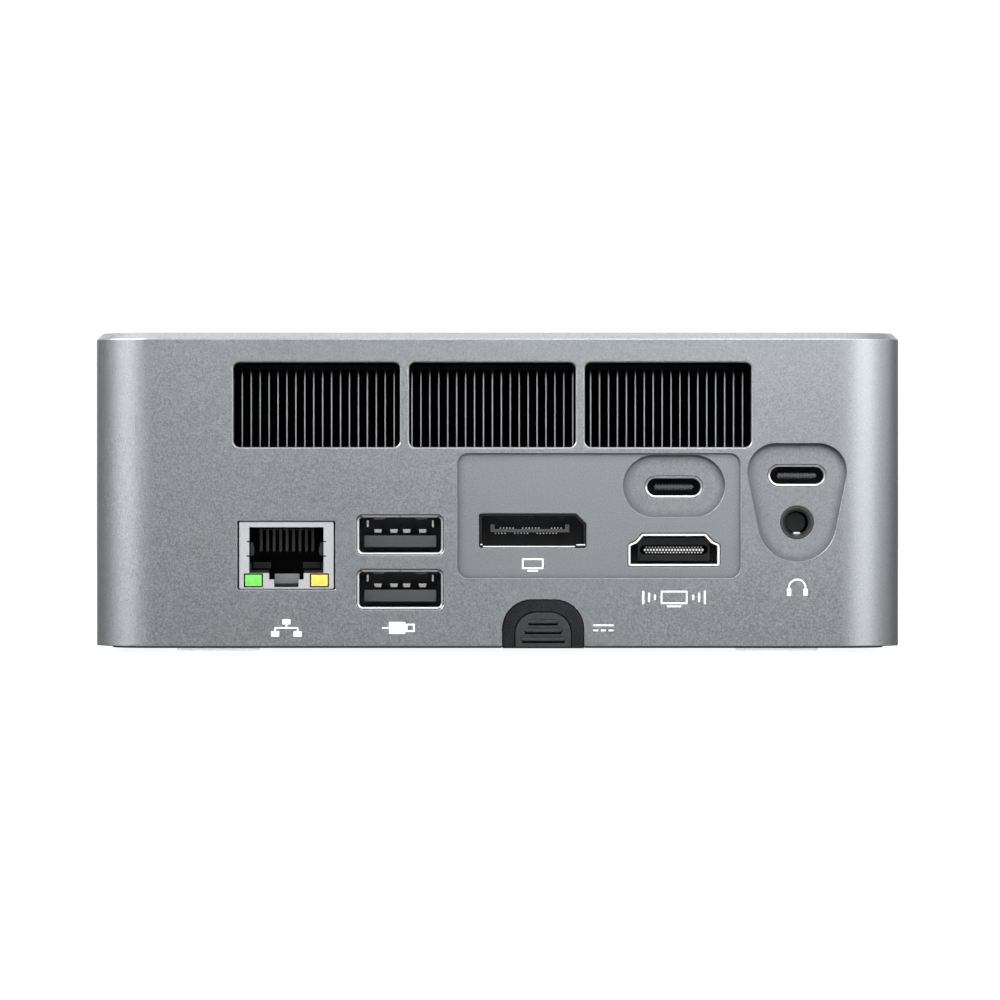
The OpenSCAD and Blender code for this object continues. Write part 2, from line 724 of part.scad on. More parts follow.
module lan_shield() color([0.8, 0.8, 0.82]) translate([lan_x, 0, 0]) difference() {
    union() {
        upright(rear_y + flush, rear_in + 1) translate([0, lan_z]) square([lan_w, lan_h], center = true);
        block([-lan_w / 2, rear_in, lan_z - lan_h / 2], [lan_w / 2, lan_back, board_z]);
    }
    upright(rear_y, rear_in) translate([0, lan_z]) lan_face_opening();
    block([-lan_w / 2 + 0.3, rear_y + flush + lan_face_t, lan_z - lan_h / 2 + 0.3],
          [lan_w / 2 - 0.3, rear_in + 1, lan_z + lan_h / 2 - 0.3]);
    block([-lan_w / 2 + 0.3, rear_in + 0.3, lan_z - lan_h / 2 + 0.3],
          [lan_w / 2 - 0.3, lan_back + 1, board_z + 1]);
}

comb_pitch = 1.016;
comb_y = rear_y + 6.6;          // where the contacts' comb starts

module lan_insert() color([0.09, 0.09, 0.1]) translate([lan_x, 0, 0]) {
    difference() {
        block([-lan_w / 2 + 0.35, rear_y + flush + lan_face_t + slack, lan_z - lan_h / 2 + 0.35],
              [lan_w / 2 - 0.35, lan_back - 0.1, lan_z + lan_h / 2 - 0.35]);
        upright(rear_y, rear_y + 14) translate([0, lan_z]) lan_plug_room();
        for (s = [-1, 1]) translate([s * led_dx, 0, lan_z + led_z])
            upright(rear_y, rear_y + led_len) square(led + [2, 2] * slack, center = true);
    }
    for (i = [0 : 8]) translate([(i - 4) * comb_pitch, 0, lan_z])   // comb between the contacts
        block([-0.16, comb_y, 0.6], [0.16, rear_y + 14.1, 4.4]);
}

module lan_contacts() color([0.83, 0.68, 0.35]) translate([lan_x, 0, lan_z])
    for (i = [0 : 7]) translate([(i - 3.5) * comb_pitch - 0.16, 0, 0])
        rotate([90, 0, 90]) linear_extrude(0.32) polygon([
            [comb_y + 0.3, 4.25], [comb_y + 0.3, 3.95], [comb_y + 5.2, 0.9],
            [comb_y + 5.5, 1.1], [comb_y + 0.7, 4.25]
        ]);

module lan_led(side, tint) color(tint) translate([lan_x + side * led_dx, 0, lan_z + led_z])
    upright(rear_y + flush + 0.1, rear_y + led_len) square(led, center = true);

module lan_led_green() lan_led(-1, [0.3, 0.85, 0.3]);
module lan_led_amber() lan_led(1, [0.9, 0.75, 0.25]);

// ---------------------------------------------------------------- data and video sockets

// Folded sheet tube of a data socket, from y0 to y1
module usb_tube(y0, y1) upright(y0, y1) difference() {
    round_rect(usb_out[0], usb_out[1], usb_mouth_r);
    round_rect(usb_out[0] - 2 * usb_sheet, usb_out[1] - 2 * usb_sheet, usb_mouth_r - usb_sheet);
}

usb_len = 12.8;
usb_plug_back = 1.9;            // insulator behind the tube

module usb_upper_shell() color([0.75, 0.75, 0.77])
    translate([usb_x, 0, usb_z]) usb_tube(rear_y + flush, rear_y + usb_len);

module usb_lower_shell() color([0.75, 0.75, 0.77])
    translate([usb_x, 0, usb_z - usb_drop]) usb_tube(rear_y + flush, rear_y + usb_len);

module usb_insulator() color([0.1, 0.1, 0.11]) translate([usb_x, 0, 0]) {
    block([-usb_out[0] / 2, rear_y + usb_len, usb_z - usb_drop - usb_out[1] / 2],
          [usb_out[0] / 2, rear_y + usb_len + 4, board_z]);
    for (i = [0, 1]) upright(rear_y + 1.7, rear_y + usb_len + 1)
        translate([0, usb_z - i * usb_drop - usb_tongue_drop])
            round_rect(usb_tongue[0], usb_tongue[1], 0.3);
}

// Sheet tube round an outline, from y0 to y1
module port_tube(outline, y0, y1) upright(y0, y1) difference() {
    polygon(outline);
    polygon(grown(outline, -port_sheet));
}

notched_back = rear_y + 10.5;
shoulder_back = rear_y + 11;
panel_y = rear_y + panel_deep;

module notched_port_shell() color([0.16, 0.16, 0.17]) translate([notched_x, 0, notched_z])
    port_tube(notched_outline, panel_y + 0.1, notched_back);

module notched_port_insulator() color([0.1, 0.1, 0.11]) translate([notched_x, 0, 0]) {
    block([-8, notched_back, notched_z - 2.5], [8, notched_back + 2.5, board_z]);
    upright(panel_y + 5, notched_back + 1) translate([0, notched_z])
        polygon(grown(notched_outline, -port_sheet - 0.03));
    upright(panel_y + 1.5, panel_y + 6) translate([-0.3, notched_z]) {
        square([12.4, 0.55], center = true);
        for (s = [-1, 1]) translate([s * 5.85 - 0.35, -0.275]) square([0.7, 1.3]);
    }
}

module shoulder_port_shell() color([0.85, 0.85, 0.86]) translate([shoulder_x, 0, shoulder_z])
    port_tube(shoulder_outline, panel_y + 0.05, shoulder_back);

module shoulder_port_insulator() color([0.1, 0.1, 0.11]) translate([shoulder_x, 0, 0]) {
    block([-7, shoulder_back, shoulder_z - 2.5], [7, shoulder_back + 2, board_z]);
    upright(panel_y + 5, shoulder_back + 1) translate([0, shoulder_z])
        polygon(grown(shoulder_outline, -port_sheet - 0.03));
    upright(panel_y + 1.3, panel_y + 6) translate([0, shoulder_z]) round_rect(9.9, 1.5, 0.5);
}

// Oval socket with its mouth at y0, pointing to the rear
module oval_shell(y0) upright(y0, y0 + oval_len) difference() {
    bar(oval_out[0], oval_out[1]);
    bar(oval_out[0] - 2 * oval_sheet, oval_out[1] - 2 * oval_sheet);
}

module oval_insulator(y0) {
    upright(y0 + oval_len - 1.5, y0 + oval_len)
        bar(oval_out[0] - 2 * oval_sheet - slack, oval_out[1] - 2 * oval_sheet - slack);
    upright(y0 + 0.9, y0 + oval_len - 1) square(oval_tongue, center = true);
}

oval_y = rear_y + pocket_deep + 0.1;

module rear_oval_shell() color([0.75, 0.75, 0.77])
    translate([shoulder_x, 0, oval_z]) oval_shell(oval_y);
module rear_oval_insulator() color([0.1, 0.1, 0.11])
    translate([shoulder_x, 0, oval_z]) oval_insulator(oval_y);
module side_oval_shell() color([0.75, 0.75, 0.77])
    translate([side_x, 0, side_oval_z]) oval_shell(oval_y);

module side_oval_insulator() color([0.1, 0.1, 0.11]) translate([side_x, 0, 0]) {
    translate([0, 0, side_oval_z]) oval_insulator(oval_y);
    y1 = oval_y + oval_len;
    block([-3.4, y1 - 5, board_top], [3.4, y1 + 1.2, side_oval_z - oval_out[1] / 2]);
    block([-3.4, y1, board_top], [3.4, y1 + 1.2, side_oval_z + oval_out[1] / 2]);
}

// Round socket with its mouth at y 0, pointing to the rear; its wall reaches back to wall_y
module round_jack(wall_y, up) difference() {
    union() {
        upright(0, wall_y + 0.5) circle(jack_collar_r);
        block([-3.3, wall_y + 0.1, -2.9], [3.3, jack_len, up]);
    }
    upright(-1, jack_len - 0.6) circle(jack_bore_r);
    upright(-1, 0.35) circle(jack_bore_r + 0.3);
}

module headset_jack() color([0.13, 0.13, 0.14])
    translate([side_x, rear_y + pocket_deep, headset_z])
        round_jack(rear_wall - pocket_deep, board_z - 0.1 - headset_z);

// ---------------------------------------------------------------- power bay

module dc_bezel() color([0.12, 0.12, 0.13]) translate([dc_x, 0, 0]) difference() {
    upright(rear_y + flush, dc_back) arch(dc_out_w, base_z0, dc_out_top, dc_out_r);
    upright(rear_y, dc_back - 1.6) arch(dc_in_w + 0.2, -1, dc_in_top + 0.1, dc_in_r + 0.1);
}

module dc_inlet() color([0.3, 0.3, 0.31]) translate([dc_x, 0, 0]) {
    upright(inlet_face, dc_back - 1.6) arch(dc_in_w, base_z0 + 0.2, dc_in_top, dc_in_r);
    for (i = [-2 : 2]) upright(inlet_face - 0.8, inlet_face + 0.5) translate([i * 1.5, 3.3]) circle(0.4);
}

module dc_cap() color([0.2, 0.21, 0.22]) translate([dc_x, 0, 0]) {
    upright(cap_face, cap_back) arch(dc_in_w, base_z0 + 0.1, dc_in_top, dc_in_r);
    for (rib = cap_ribs)
        upright(cap_face - rib_proud, cap_face + 0.5) translate([0, rib[1]]) bar(rib[0], rib_h);
}

// ---------------------------------------------------------------- front

ring_back = front_in - 0.8;
button_back = ring_back - 1.1;

module power_button() color([0.56, 0.58, 0.6]) translate([button_x, 0, front_z]) {
    upright(button_back, front_y - 0.3) circle(button_r);
    upright(button_back, ring_back - 0.1) circle(6.4);
}

module power_light_ring() color([0.9, 0.92, 0.95]) translate([button_x, 0, front_z]) difference() {
    union() {
        upright(ring_back, front_y - 0.1) circle(ring_r);
        upright(ring_back, front_in) circle(6.7);
    }
    upright(ring_back - 1, front_y + 1) circle(button_r + 0.15);
}

switch_face = board_front - 0.6;
plunger_back = switch_face - 1.4;

// Push switch under the board's front edge, with a well for its plunger
module edge_switch(x) translate([x, 0, 0]) difference() {
    block([-3, switch_face - 3.5, front_z - 2.1], [3, switch_face, board_z]);
    upright(plunger_back - button_travel - 0.3, switch_face + 1) translate([0, front_z]) circle(1.25);
}

module power_switch() color([0.1, 0.1, 0.11]) edge_switch(button_x);
module power_plunger() color([0.85, 0.85, 0.83])
    translate([button_x, 0, front_z]) upright(plunger_back, button_back) circle(1.1);
module reset_switch() color([0.1, 0.1, 0.11]) edge_switch(reset_x);
module reset_plunger() color([0.85, 0.85, 0.83])
    translate([reset_x, 0, front_z]) upright(plunger_back, front_in - 1.2) circle(1.1);

module front_usb_shells() color([0.75, 0.75, 0.77])
    for (x = front_usb_xs) translate([x, 0, front_z]) usb_tube(front_y - usb_len + 0.4, front_y - flush);

module front_usb_insulators() color([0.1, 0.1, 0.11]) for (x = front_usb_xs) translate([x, 0, 0]) {
    back = front_y - usb_len + 0.4;
    block([-usb_out[0] / 2, back - usb_plug_back, front_z - usb_out[1] / 2],
          [usb_out[0] / 2, back, board_z]);
    upright(back - 1, front_y - 1.7) translate([0, front_z + usb_tongue_drop])
        round_rect(usb_tongue[0], usb_tongue[1], 0.3);
}

module front_oval_shell() color([0.75, 0.75, 0.77])
    translate([front_oval_x, 0, front_z]) rotate(180) oval_shell(-front_y + flush);

module front_oval_insulator() color([0.1, 0.1, 0.11]) translate([front_oval_x, 0, front_z]) {
    rotate(180) oval_insulator(-front_y + flush);
    y1 = front_y - flush - oval_len;
    block([-3.4, y1 - 1.2, oval_out[1] / 2 - 1], [3.4, y1 + 5, board_z - front_z] + [0, -5, 0]);
    block([-3.4, y1 - 1.2, oval_out[1] / 2], [3.4, y1 + 4, board_z - front_z]);
}

module front_headset_jack() color([0.13, 0.13, 0.14])
    translate([front_jack_x, front_y - 0.1, front_z]) rotate(180) round_jack(wall - 0.1, board_z - front_z);

// ---------------------------------------------------------------- assembly

housing_shell();
base_cover();
rubber_feet();
base_screws();
bracket_inserts();
dust_filter();
intake_fan_frame();
intake_fan_rotor();
mainboard();
board_screws();
processor();
cpu_backplate();
cooler_screws();
vapor_chamber();
fin_stack();
blower_frame();
blower_cover();
blower_motor();
blower_rotor();
power_chokes();
memory_socket();
memory_module_upper();
memory_module_lower();
ssd_module();
wireless_card();
card_sockets();
card_screws();
antennas();
coin_cell();
lan_shield();
lan_insert();
lan_contacts();
lan_led_green();
lan_led_amber();
usb_upper_shell();
usb_lower_shell();
usb_insulator();
notched_port_shell();
notched_port_insulator();
shoulder_port_shell();
shoulder_port_insulator();
rear_oval_shell();
rear_oval_insulator();
side_oval_shell();
side_oval_insulator();
headset_jack();
dc_bezel();
dc_inlet();
dc_cap();
power_button();
power_light_ring();
power_switch();
power_plunger();
reset_switch();
reset_plunger();
front_usb_shells();
front_usb_insulators();
front_oval_shell();
front_oval_insulator();
front_headset_jack();
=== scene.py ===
"""Looks of the mini pc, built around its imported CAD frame.

Shapes are worked out in millimetres and become metres when a mesh is made. The photographed face, with the
sockets, looks towards -Y. The front, with the power button, looks towards +Y.
"""
import json
import math

import bpy
import numpy as np
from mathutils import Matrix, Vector
from mathutils.geometry import delaunay_2d_cdt


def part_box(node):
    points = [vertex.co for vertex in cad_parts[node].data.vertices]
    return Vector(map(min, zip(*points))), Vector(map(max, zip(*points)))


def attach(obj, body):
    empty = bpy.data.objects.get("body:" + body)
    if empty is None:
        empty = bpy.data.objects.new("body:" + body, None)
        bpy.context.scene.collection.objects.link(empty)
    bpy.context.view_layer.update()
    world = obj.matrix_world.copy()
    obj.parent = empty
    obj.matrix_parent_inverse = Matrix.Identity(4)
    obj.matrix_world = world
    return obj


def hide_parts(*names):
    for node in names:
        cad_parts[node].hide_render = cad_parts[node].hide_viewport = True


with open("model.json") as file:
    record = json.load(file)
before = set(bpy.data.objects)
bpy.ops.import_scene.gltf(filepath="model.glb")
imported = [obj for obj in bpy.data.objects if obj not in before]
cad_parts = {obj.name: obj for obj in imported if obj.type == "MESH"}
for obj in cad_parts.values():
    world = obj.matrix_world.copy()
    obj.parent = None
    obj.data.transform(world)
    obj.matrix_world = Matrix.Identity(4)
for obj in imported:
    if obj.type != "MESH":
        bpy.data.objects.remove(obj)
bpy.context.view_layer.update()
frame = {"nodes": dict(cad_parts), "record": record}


# ---------------------------------------------------------------- sizes and places, mostly from the CAD frame

def box_mm(node):
    """Lowest and highest corner of a CAD node, in millimetres."""
    low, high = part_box(node)
    return np.round(np.array(low) * 1000, 3), np.round(np.array(high) * 1000, 3)


def middle(node):
    """Middle of a CAD node's box, in millimetres."""
    low, high = box_mm(node)
    return (low + high) / 2


def four(x, y):
    """A place and its mirror images across the two middle lines of the base."""
    return [(sx * x, sy * y) for sx in (-1, 1) for sy in (-1, 1)]


(_, REAR_Y, RIM_Z), (HALF_X, FRONT_Y, TOP_Z) = box_mm("housing_shell")
CORNER_R = 10.0
ARC = 20                    # straight pieces in an upright corner
BENT = 3                    # how many of them the rear face covers
BEND_START = HALF_X - CORNER_R
BEND_XS = [BEND_START + CORNER_R * math.sin(math.radians(k * 90 / ARC)) for k in range(BENT)]
REAR_WALL = 2.6
FRONT_WALL = 2.2
SIDE_WALL = 2.2
CEILING_Z = 47.6
PANEL_DEEP = 0.5
POCKET_DEEP = 1.4

BASE_Z = box_mm("base_cover")[0][2]
BASE_TOP = 2.7
FOOT_PLACES = four(44, 43.5)
SCREW_PLACES = four(55.4, 48.4)
BRACKET_PLACES = four(45, 30)

LAN_X, LAN_Z = middle("lan_insert")[0], 15.2
USB_X = middle("usb_upper_shell")[0]
USB_ZS = (middle("usb_upper_shell")[2], middle("usb_lower_shell")[2])
NOTCHED_X, _, NOTCHED_Z = middle("notched_port_shell")
SHOULDER_X, _, SHOULDER_Z = middle("shoulder_port_shell")
OVAL_Z = middle("rear_oval_shell")[2]
SIDE_X, _, SIDE_OVAL_Z = middle("side_oval_shell")
JACK_Z = 20.34
DC_X = middle("dc_bezel")[0]
VENT_XS = (-28.23, -0.8, 26.63)
VENT_Z = 38.7
BUTTON_X, _, FRONT_Z = middle("power_button")
FRONT_USB_XS = (-17.0, 2.0)
FRONT_OVAL_X = middle("front_oval_shell")[0]
FRONT_JACK_X = 33.0
RESET_X = middle("reset_plunger")[0]
SOCKET_FRONT = 0.2          # how far behind a wall's face most sockets start
INWARD = -9                 # a cross-section's end, well inside any outline
OUTWARD = 9                 # and well outside


# ---------------------------------------------------------------- flat shapes

def unit(vector):
    vector = np.asarray(vector, float)
    return vector / np.linalg.norm(vector)


def bend(before, after):
    """The turn from one direction to the next, the way it goes, and the normals to the right of both."""
    turn = math.atan2(before[0] * after[1] - before[1] * after[0], float(before @ after))
    way = 1.0 if turn >= 0 else -1.0
    return turn, way, np.array([before[1], -before[0]]), np.array([after[1], -after[0]])


def arc(corner, before, turn, way, normal, radius, count):
    """Points round a corner of that radius, each with its normal."""
    heart = corner - before * radius * math.tan(abs(turn) / 2) - normal * radius * way
    for k in range(count + 1):
        angle = turn * k / count
        c, s = math.cos(angle), math.sin(angle)
        n = np.array([normal[0] * c - normal[1] * s, normal[0] * s + normal[1] * c])
        yield heart + n * radius * way, n


class Wall:
    """A plane of the object: u and v lie in it, out points away from the object, depth runs inward.

    A bent wall is flat up to the housing's rounded corner. Its recesses have their floors on the flat wall.
    """

    def __init__(self, origin, u, v, flat=None):
        self.origin = np.array(origin, float)
        self.u = np.array(u, float)
        self.v = np.array(v, float)
        self.out = np.cross(self.u, self.v)
        self.bent = flat is not None
        self.floor_wall = flat or self

    def over(self, flat):
        """How far each point lies past the start of the housing's rounded corner."""
        return np.clip(flat[:, 0] - BEND_START, 0, CORNER_R * 0.6)

    def place(self, flat, depth=0.0):
        flat = np.asarray(flat, float).reshape(-1, 2)
        deep = np.full(len(flat), float(depth))
        if self.bent:
            sag = CORNER_R - np.sqrt(CORNER_R ** 2 - self.over(flat) ** 2)
            deep += sag * np.clip(1 - deep / POCKET_DEEP, 0, 1)
        spot = self.origin + flat[:, :1] * self.u + flat[:, 1:] * self.v
        return spot - deep[:, None] * self.out

    def normals(self, flat, sides, a, b):
        """Normals with a share a of the outline's own normal and a share b of the wall's."""
        out = np.tile(self.out, (len(flat), 1))
        if self.bent:
            lean = (self.over(flat) / CORNER_R)[:, None]
            out = out * np.sqrt(1 - lean ** 2) + self.u * lean
        mixed = a * (sides[:, :1] * self.u + sides[:, 1:] * self.v) + b * out
        return mixed / np.linalg.norm(mixed, axis=1)[:, None]


REAR = Wall((0, REAR_Y, 0), (1, 0, 0), (0, 0, 1))
SKIN = Wall((0, REAR_Y, 0), (1, 0, 0), (0, 0, 1), flat=REAR)
FRONT = Wall((0, FRONT_Y, 0), (-1, 0, 0), (0, 0, 1))
UNDER = Wall((0, 0, 0), (1, 0, 0), (0, -1, 0))
BASE_FACE = Wall((0, 0, BASE_Z), (1, 0, 0), (0, -1, 0))
ABOVE = Wall((0, 0, 0), (1, 0, 0), (0, 1, 0))


class Outline:
    """A shape in a wall's plane, walked anticlockwise, with round corners. It can be grown or shrunk."""

    def __init__(self, points, radii, middle_at=(0, 0), closed=True, pieces=None):
        self.points = [np.array(p, float) + np.array(middle_at, float) for p in points]
        self.radii = list(radii) if hasattr(radii, "__len__") else [radii] * len(points)
        around = zip(self.points, self.points[1:] + self.points[:1])
        if closed and sum(a[0] * b[1] - a[1] * b[0] for a, b in around) < 0:
            self.points.reverse()
            self.radii.reverse()
        self.closed = closed
        self.pieces = pieces

    def corners(self):
        """Each corner with its radius and the directions into it and out of it. An open end has only one."""
        count = len(self.points)
        for i, corner in enumerate(self.points):
            starts, ends = not self.closed and i == 0, not self.closed and i == count - 1
            before = None if starts else unit(corner - self.points[i - 1])
            after = None if ends else unit(self.points[(i + 1) % count] - corner)
            yield corner, self.radii[i], before, after

    def ring(self, grow=0.0):
        """Points of the outline grown by that much, with their outward normals."""
        spots = []
        sides = []
        for corner, radius, before, after in self.corners():
            if before is None or after is None:
                along = after if before is None else before
                side = np.array([along[1], -along[0]])
                spots.append(corner + side * grow)
                sides.append(side)
                continue
            turn, way, n1, n2 = bend(before, after)
            moved = corner + (n1 + n2) * grow / (1 + float(n1 @ n2))
            quarter = 3 + 2.6 * math.sqrt(radius)
            count = self.pieces or max(2, math.ceil(abs(turn) / (math.pi / 2) * quarter))
            for spot, side in arc(moved, before, turn, way, n1, max(radius + way * grow, 1e-4), count):
                spots.append(spot)
                sides.append(side)
        return np.array(spots), np.array(sides)

    def line(self, grow=0.0):
        return self.ring(grow)[0]


def grown(outline, grow):
    """Copy of an outline, grown."""
    moved = []
    radii = []
    for corner, radius, before, after in outline.corners():
        _, way, n1, n2 = bend(before, after)
        moved.append(corner + (n1 + n2) * grow / (1 + float(n1 @ n2)))
        radii.append(max(radius + way * grow, 0.01))
    return Outline(moved, radii, pieces=outline.pieces)


def rect(width, height, radius, at=(0, 0), pieces=None):
    w, h = width / 2, height / 2
    return Outline([(-w, -h), (w, -h), (w, h), (-w, h)], radius, at, pieces=pieces)


def span(x0, z0, x1, z1, radius=0.05):
    """Rectangle between two corners."""
    return rect(x1 - x0, z1 - z0, radius, ((x0 + x1) / 2, (z0 + z1) / 2))


def box_loop(x0, z0, x1, z1):
    """Plain loop round a rectangle."""
    return np.array([(x0, z0), (x1, z0), (x1, z1), (x0, z1)])


def stadium(width, height, at=(0, 0)):
    return rect(width, height, min(width, height) / 2, at)


def circle(radius, at=(0, 0), pieces=None):
    return rect(2 * radius, 2 * radius, radius, at, pieces)


def taper(wide, at_wide, narrow, at_narrow, radius, at):
    """Four-sided shape that is wider at one height than at the other."""
    points = [(-wide, at_wide), (wide, at_wide), (narrow, at_narrow), (-narrow, at_narrow)]
    return Outline(points, radius, at)


def mirrored(right):
    """A shape's right half, walked upwards, with its left half added."""
    return right + [(-x, z) for x, z in reversed(right)]


def arch(width, low, high, radius, x, closed=True):
    """Upright opening with two round top corners and a flat foot, or with no foot if it isn't closed."""
    w = width / 2
    points = [(x + w, low), (x + w, high), (x - w, high), (x - w, low)]
    return Outline(points, [0.02, radius, radius, 0.02], closed=closed)


def pick_outline():
    """Outline round two circles side by side and a wider one under them."""
    top, top_r, low_r = (3.3, SIDE_OVAL_Z + 0.53 - JACK_Z), 4.5, 6.2
    slant = math.atan2(top[1], top[0]) - math.acos((low_r - top_r) / math.hypot(*top))
    n = (math.cos(slant), math.sin(slant))
    roof = top[1] + top_r
    right_at_roof = (low_r - n[1] * roof) / n[0]
    points = [(0, low_r / n[1]), (right_at_roof, roof), (-right_at_roof, roof)]
    return Outline(points, [low_r, top_r, top_r], (SIDE_X, JACK_Z), pieces=14)


def profile(path, radius=0.05):
    """Steps along a cross-section of (grow, depth) corners, each inner corner rounded.

    Each step is (grow, depth, a, b), where a and b are the shares of the outline's and the wall's normal.
    """
    line = Outline([(grow, -depth) for grow, depth in path], radius, closed=False)
    steps = []
    for i, (corner, wanted, before, after) in enumerate(line.corners()):
        if before is None or after is None:
            along = after if before is None else before
            steps.append((corner[0], -corner[1], along[1], -along[0]))
            continue
        turn, way, normal, _ = bend(before, after)
        room = min(np.linalg.norm(corner - line.points[i - 1]), np.linalg.norm(line.points[i + 1] - corner))
        r = max(min(wanted, 0.45 * room / max(math.tan(abs(turn) / 2), 1e-6)), 1e-5)
        count = 2 if r < 0.2 else 4 if r < 0.6 else 6
        rounded = arc(corner, before, turn, way, normal, r, count)
        steps += [(spot[0], -spot[1], lean[0], lean[1]) for spot, lean in rounded]
    return steps


def flared(front, back, sheet):
    """Cross-section of a sheet tube whose front edge slopes gently towards the plug."""
    path = [(-sheet, back), (0, back), (0, front + 0.03), (-0.03, front), (-sheet + 0.02, front + 0.09),
            (-sheet, front + 0.13), (-sheet, back)]
    return profile(path, [0, 0.01, 0.01, 0.02, 0.02, 0.02, 0])


def inside(points, loop):
    """Which points lie inside a closed loop."""
    x, y = points[:, 0][:, None], points[:, 1][:, None]
    a, b = loop, np.roll(loop, -1, axis=0)
    crosses = (a[:, 1] > y) != (b[:, 1] > y)
    rise = b[:, 1] - a[:, 1]
    rise = np.where(rise == 0, 1e-12, rise)
    at_x = a[:, 0] + (y - a[:, 1]) * (b[:, 0] - a[:, 0]) / rise
    return (crosses & (x < at_x)).sum(1) % 2 == 1


# ---------------------------------------------------------------- meshes

def quads(a, b, closed):
    """Corners of the quads between two rows."""
    if closed:
        return np.stack([a, np.roll(a, -1, 0), np.roll(b, -1, 0), b], 1)
    return np.stack([a[:-1], a[1:], b[1:], b[:-1]], 1)


class Piece:
    """Collects faces with their normals and makes one mesh object of them."""

    def __init__(self, name):
        self.name = name
        self.patches = []

    def strip(self, rows, normals, closed=True):
        """Quads between rows of points."""
        for k in range(len(rows) - 1):
            corners = quads(rows[k], rows[k + 1], closed)
            self.patches.append((corners, quads(normals[k], normals[k + 1], closed)))

    def sweep(self, wall, outline, steps):
        """Walks a cross-section round an outline."""
        rings = [(outline.ring(grow), depth, a, b) for grow, depth, a, b in steps]
        rows = [wall.place(flat, depth) for (flat, _), depth, _, _ in rings]
        normals = [wall.normals(flat, sides, a, b) for (flat, sides), _, a, b in rings]
        self.strip(rows, normals, outline.closed)

    def fill(self, wall, outer, holes=(), depth=0.0, facing=1, extra=()):
        """Flat surface inside one loop and outside the others. A hole may run past the outer loop."""
        verts = []
        edges = []
        for loop in [outer, *holes]:
            first = len(verts)
            size = len(loop)
            verts += [Vector(p) for p in loop]
            edges += [(first + i, first + (i + 1) % size) for i in range(size)]
        verts += [Vector(p) for p in extra]
        found, _, faces, _, _, _ = delaunay_2d_cdt(verts, edges, [], 0, 1e-5)
        flat = np.array([tuple(p) for p in found])
        faces = np.array([f for f in faces if len(f) == 3])
        centre = flat[faces].mean(1)
        keep = inside(centre, outer)
        for loop in holes:
            keep &= ~inside(centre, loop)
        faces = faces[keep]
        slants = wall.normals(flat, np.zeros((len(flat), 2)), 0, 1) * facing
        self.patches.append((wall.place(flat, depth)[faces], slants[faces]))

    def hole(self, wall, outline, front, back, edge):
        """Wall of a cut-out. Returns its loops on the near and the far face."""
        steps = profile([(OUTWARD, front), (0, front), (0, back)], edge)[1:]
        self.sweep(wall, outline, steps)
        return outline.line(steps[0][0]), outline.line(0)

    def pocket(self, wall, outline, front, floor, edge, foot, holes=()):
        """Wall and floor of a recess. Returns its loop on the face round it."""
        path = [(OUTWARD, front), (0, front), (0, floor), (INWARD, floor)]
        steps = profile(path, [0, edge, foot, 0])[1:-1]
        self.sweep(wall, outline, steps)
        self.fill(wall.floor_wall, outline.line(steps[-1][0]), holes, floor)
        return outline.line(steps[0][0])

    def body(self, wall, outline, path, radii, holes=(), back_holes=()):
        """Closed shape round an outline. Its cross-section starts at the back and ends on the near face."""
        steps = profile(path, radii)[:-1]
        self.sweep(wall, outline, steps)
        self.fill(wall, outline.line(steps[-1][0]), holes, path[-1][1])
        self.fill(wall, outline.line(0), back_holes, path[0][1], facing=-1)

    def solid(self, wall, outline, front, back, edge=0.06, cuts=()):
        """Closed block of an outline's shape, with cuts right through it."""
        loops = [self.hole(wall, cut, front, back, edge) for cut in cuts]
        path = [(0, back), (0, front), (INWARD, front)]
        self.body(wall, outline, path, edge, [near for near, _ in loops], [far for _, far in loops])

    def tube(self, wall, outline, front, back, sheet, edge=0.08):
        """Closed sheet round an outline, open in the middle."""
        path = [(-sheet, back), (0, back), (0, front), (-sheet, front), (-sheet, back)]
        self.sweep(wall, outline, profile(path, [0, 0.01, edge, edge, 0]))

    def block(self, low, high, wall=REAR):
        """Upright block between two corners, with soft edges on the side nearest to the wall."""
        x0, x1 = sorted((wall.u[0] * low[0], wall.u[0] * high[0]))
        near, far = sorted(abs(y - wall.origin[1]) for y in (low[1], high[1]))
        self.solid(wall, span(x0, low[2], x1, high[2]), near, far, 0.05)

    def make(self, slot, *replaces, material=None, body="chassis"):
        """Turns the collected faces into an object that rides on a body."""
        points = np.concatenate([p.reshape(-1, 3) for p, _ in self.patches])
        keys, index = np.unique(np.round(points, 4), axis=0, return_inverse=True)
        index = index.reshape(-1)
        faces = []
        slants = []
        start = 0
        for spots, normals in self.patches:
            count, size = spots.shape[:2]
            ids = index[start:start + count * size].reshape(count, size)
            start += count * size
            if size == 4:
                cross = np.cross(spots[:, 2] - spots[:, 0], spots[:, 3] - spots[:, 1])
            else:
                cross = np.cross(spots[:, 1] - spots[:, 0], spots[:, 2] - spots[:, 0])
            wrong = (cross * normals.sum(1)).sum(1) < 0
            thin = np.linalg.norm(cross, axis=1) < 2e-7
            for face, normal, turned, empty in zip(ids.tolist(), normals.tolist(), wrong, thin):
                kept = [k for k in range(size) if face[k] != face[k - 1]]
                if empty or len(kept) < 3 or len({face[k] for k in kept}) < len(kept):
                    continue
                if turned:
                    kept.reverse()
                faces.append([face[k] for k in kept])
                slants += [normal[k] for k in kept]
        mesh = bpy.data.meshes.new(self.name)
        mesh.from_pydata((keys * 0.001).tolist(), [], faces)
        mesh.shade_smooth()
        mesh.normals_split_custom_set(slants)
        mesh.materials.append(material or FINISHES[slot])
        piece = bpy.data.objects.new(self.name, mesh)
        bpy.context.scene.collection.objects.link(piece)
        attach(piece, body)
        if replaces:
            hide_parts(*replaces)
        return piece


# ---------------------------------------------------------------- materials

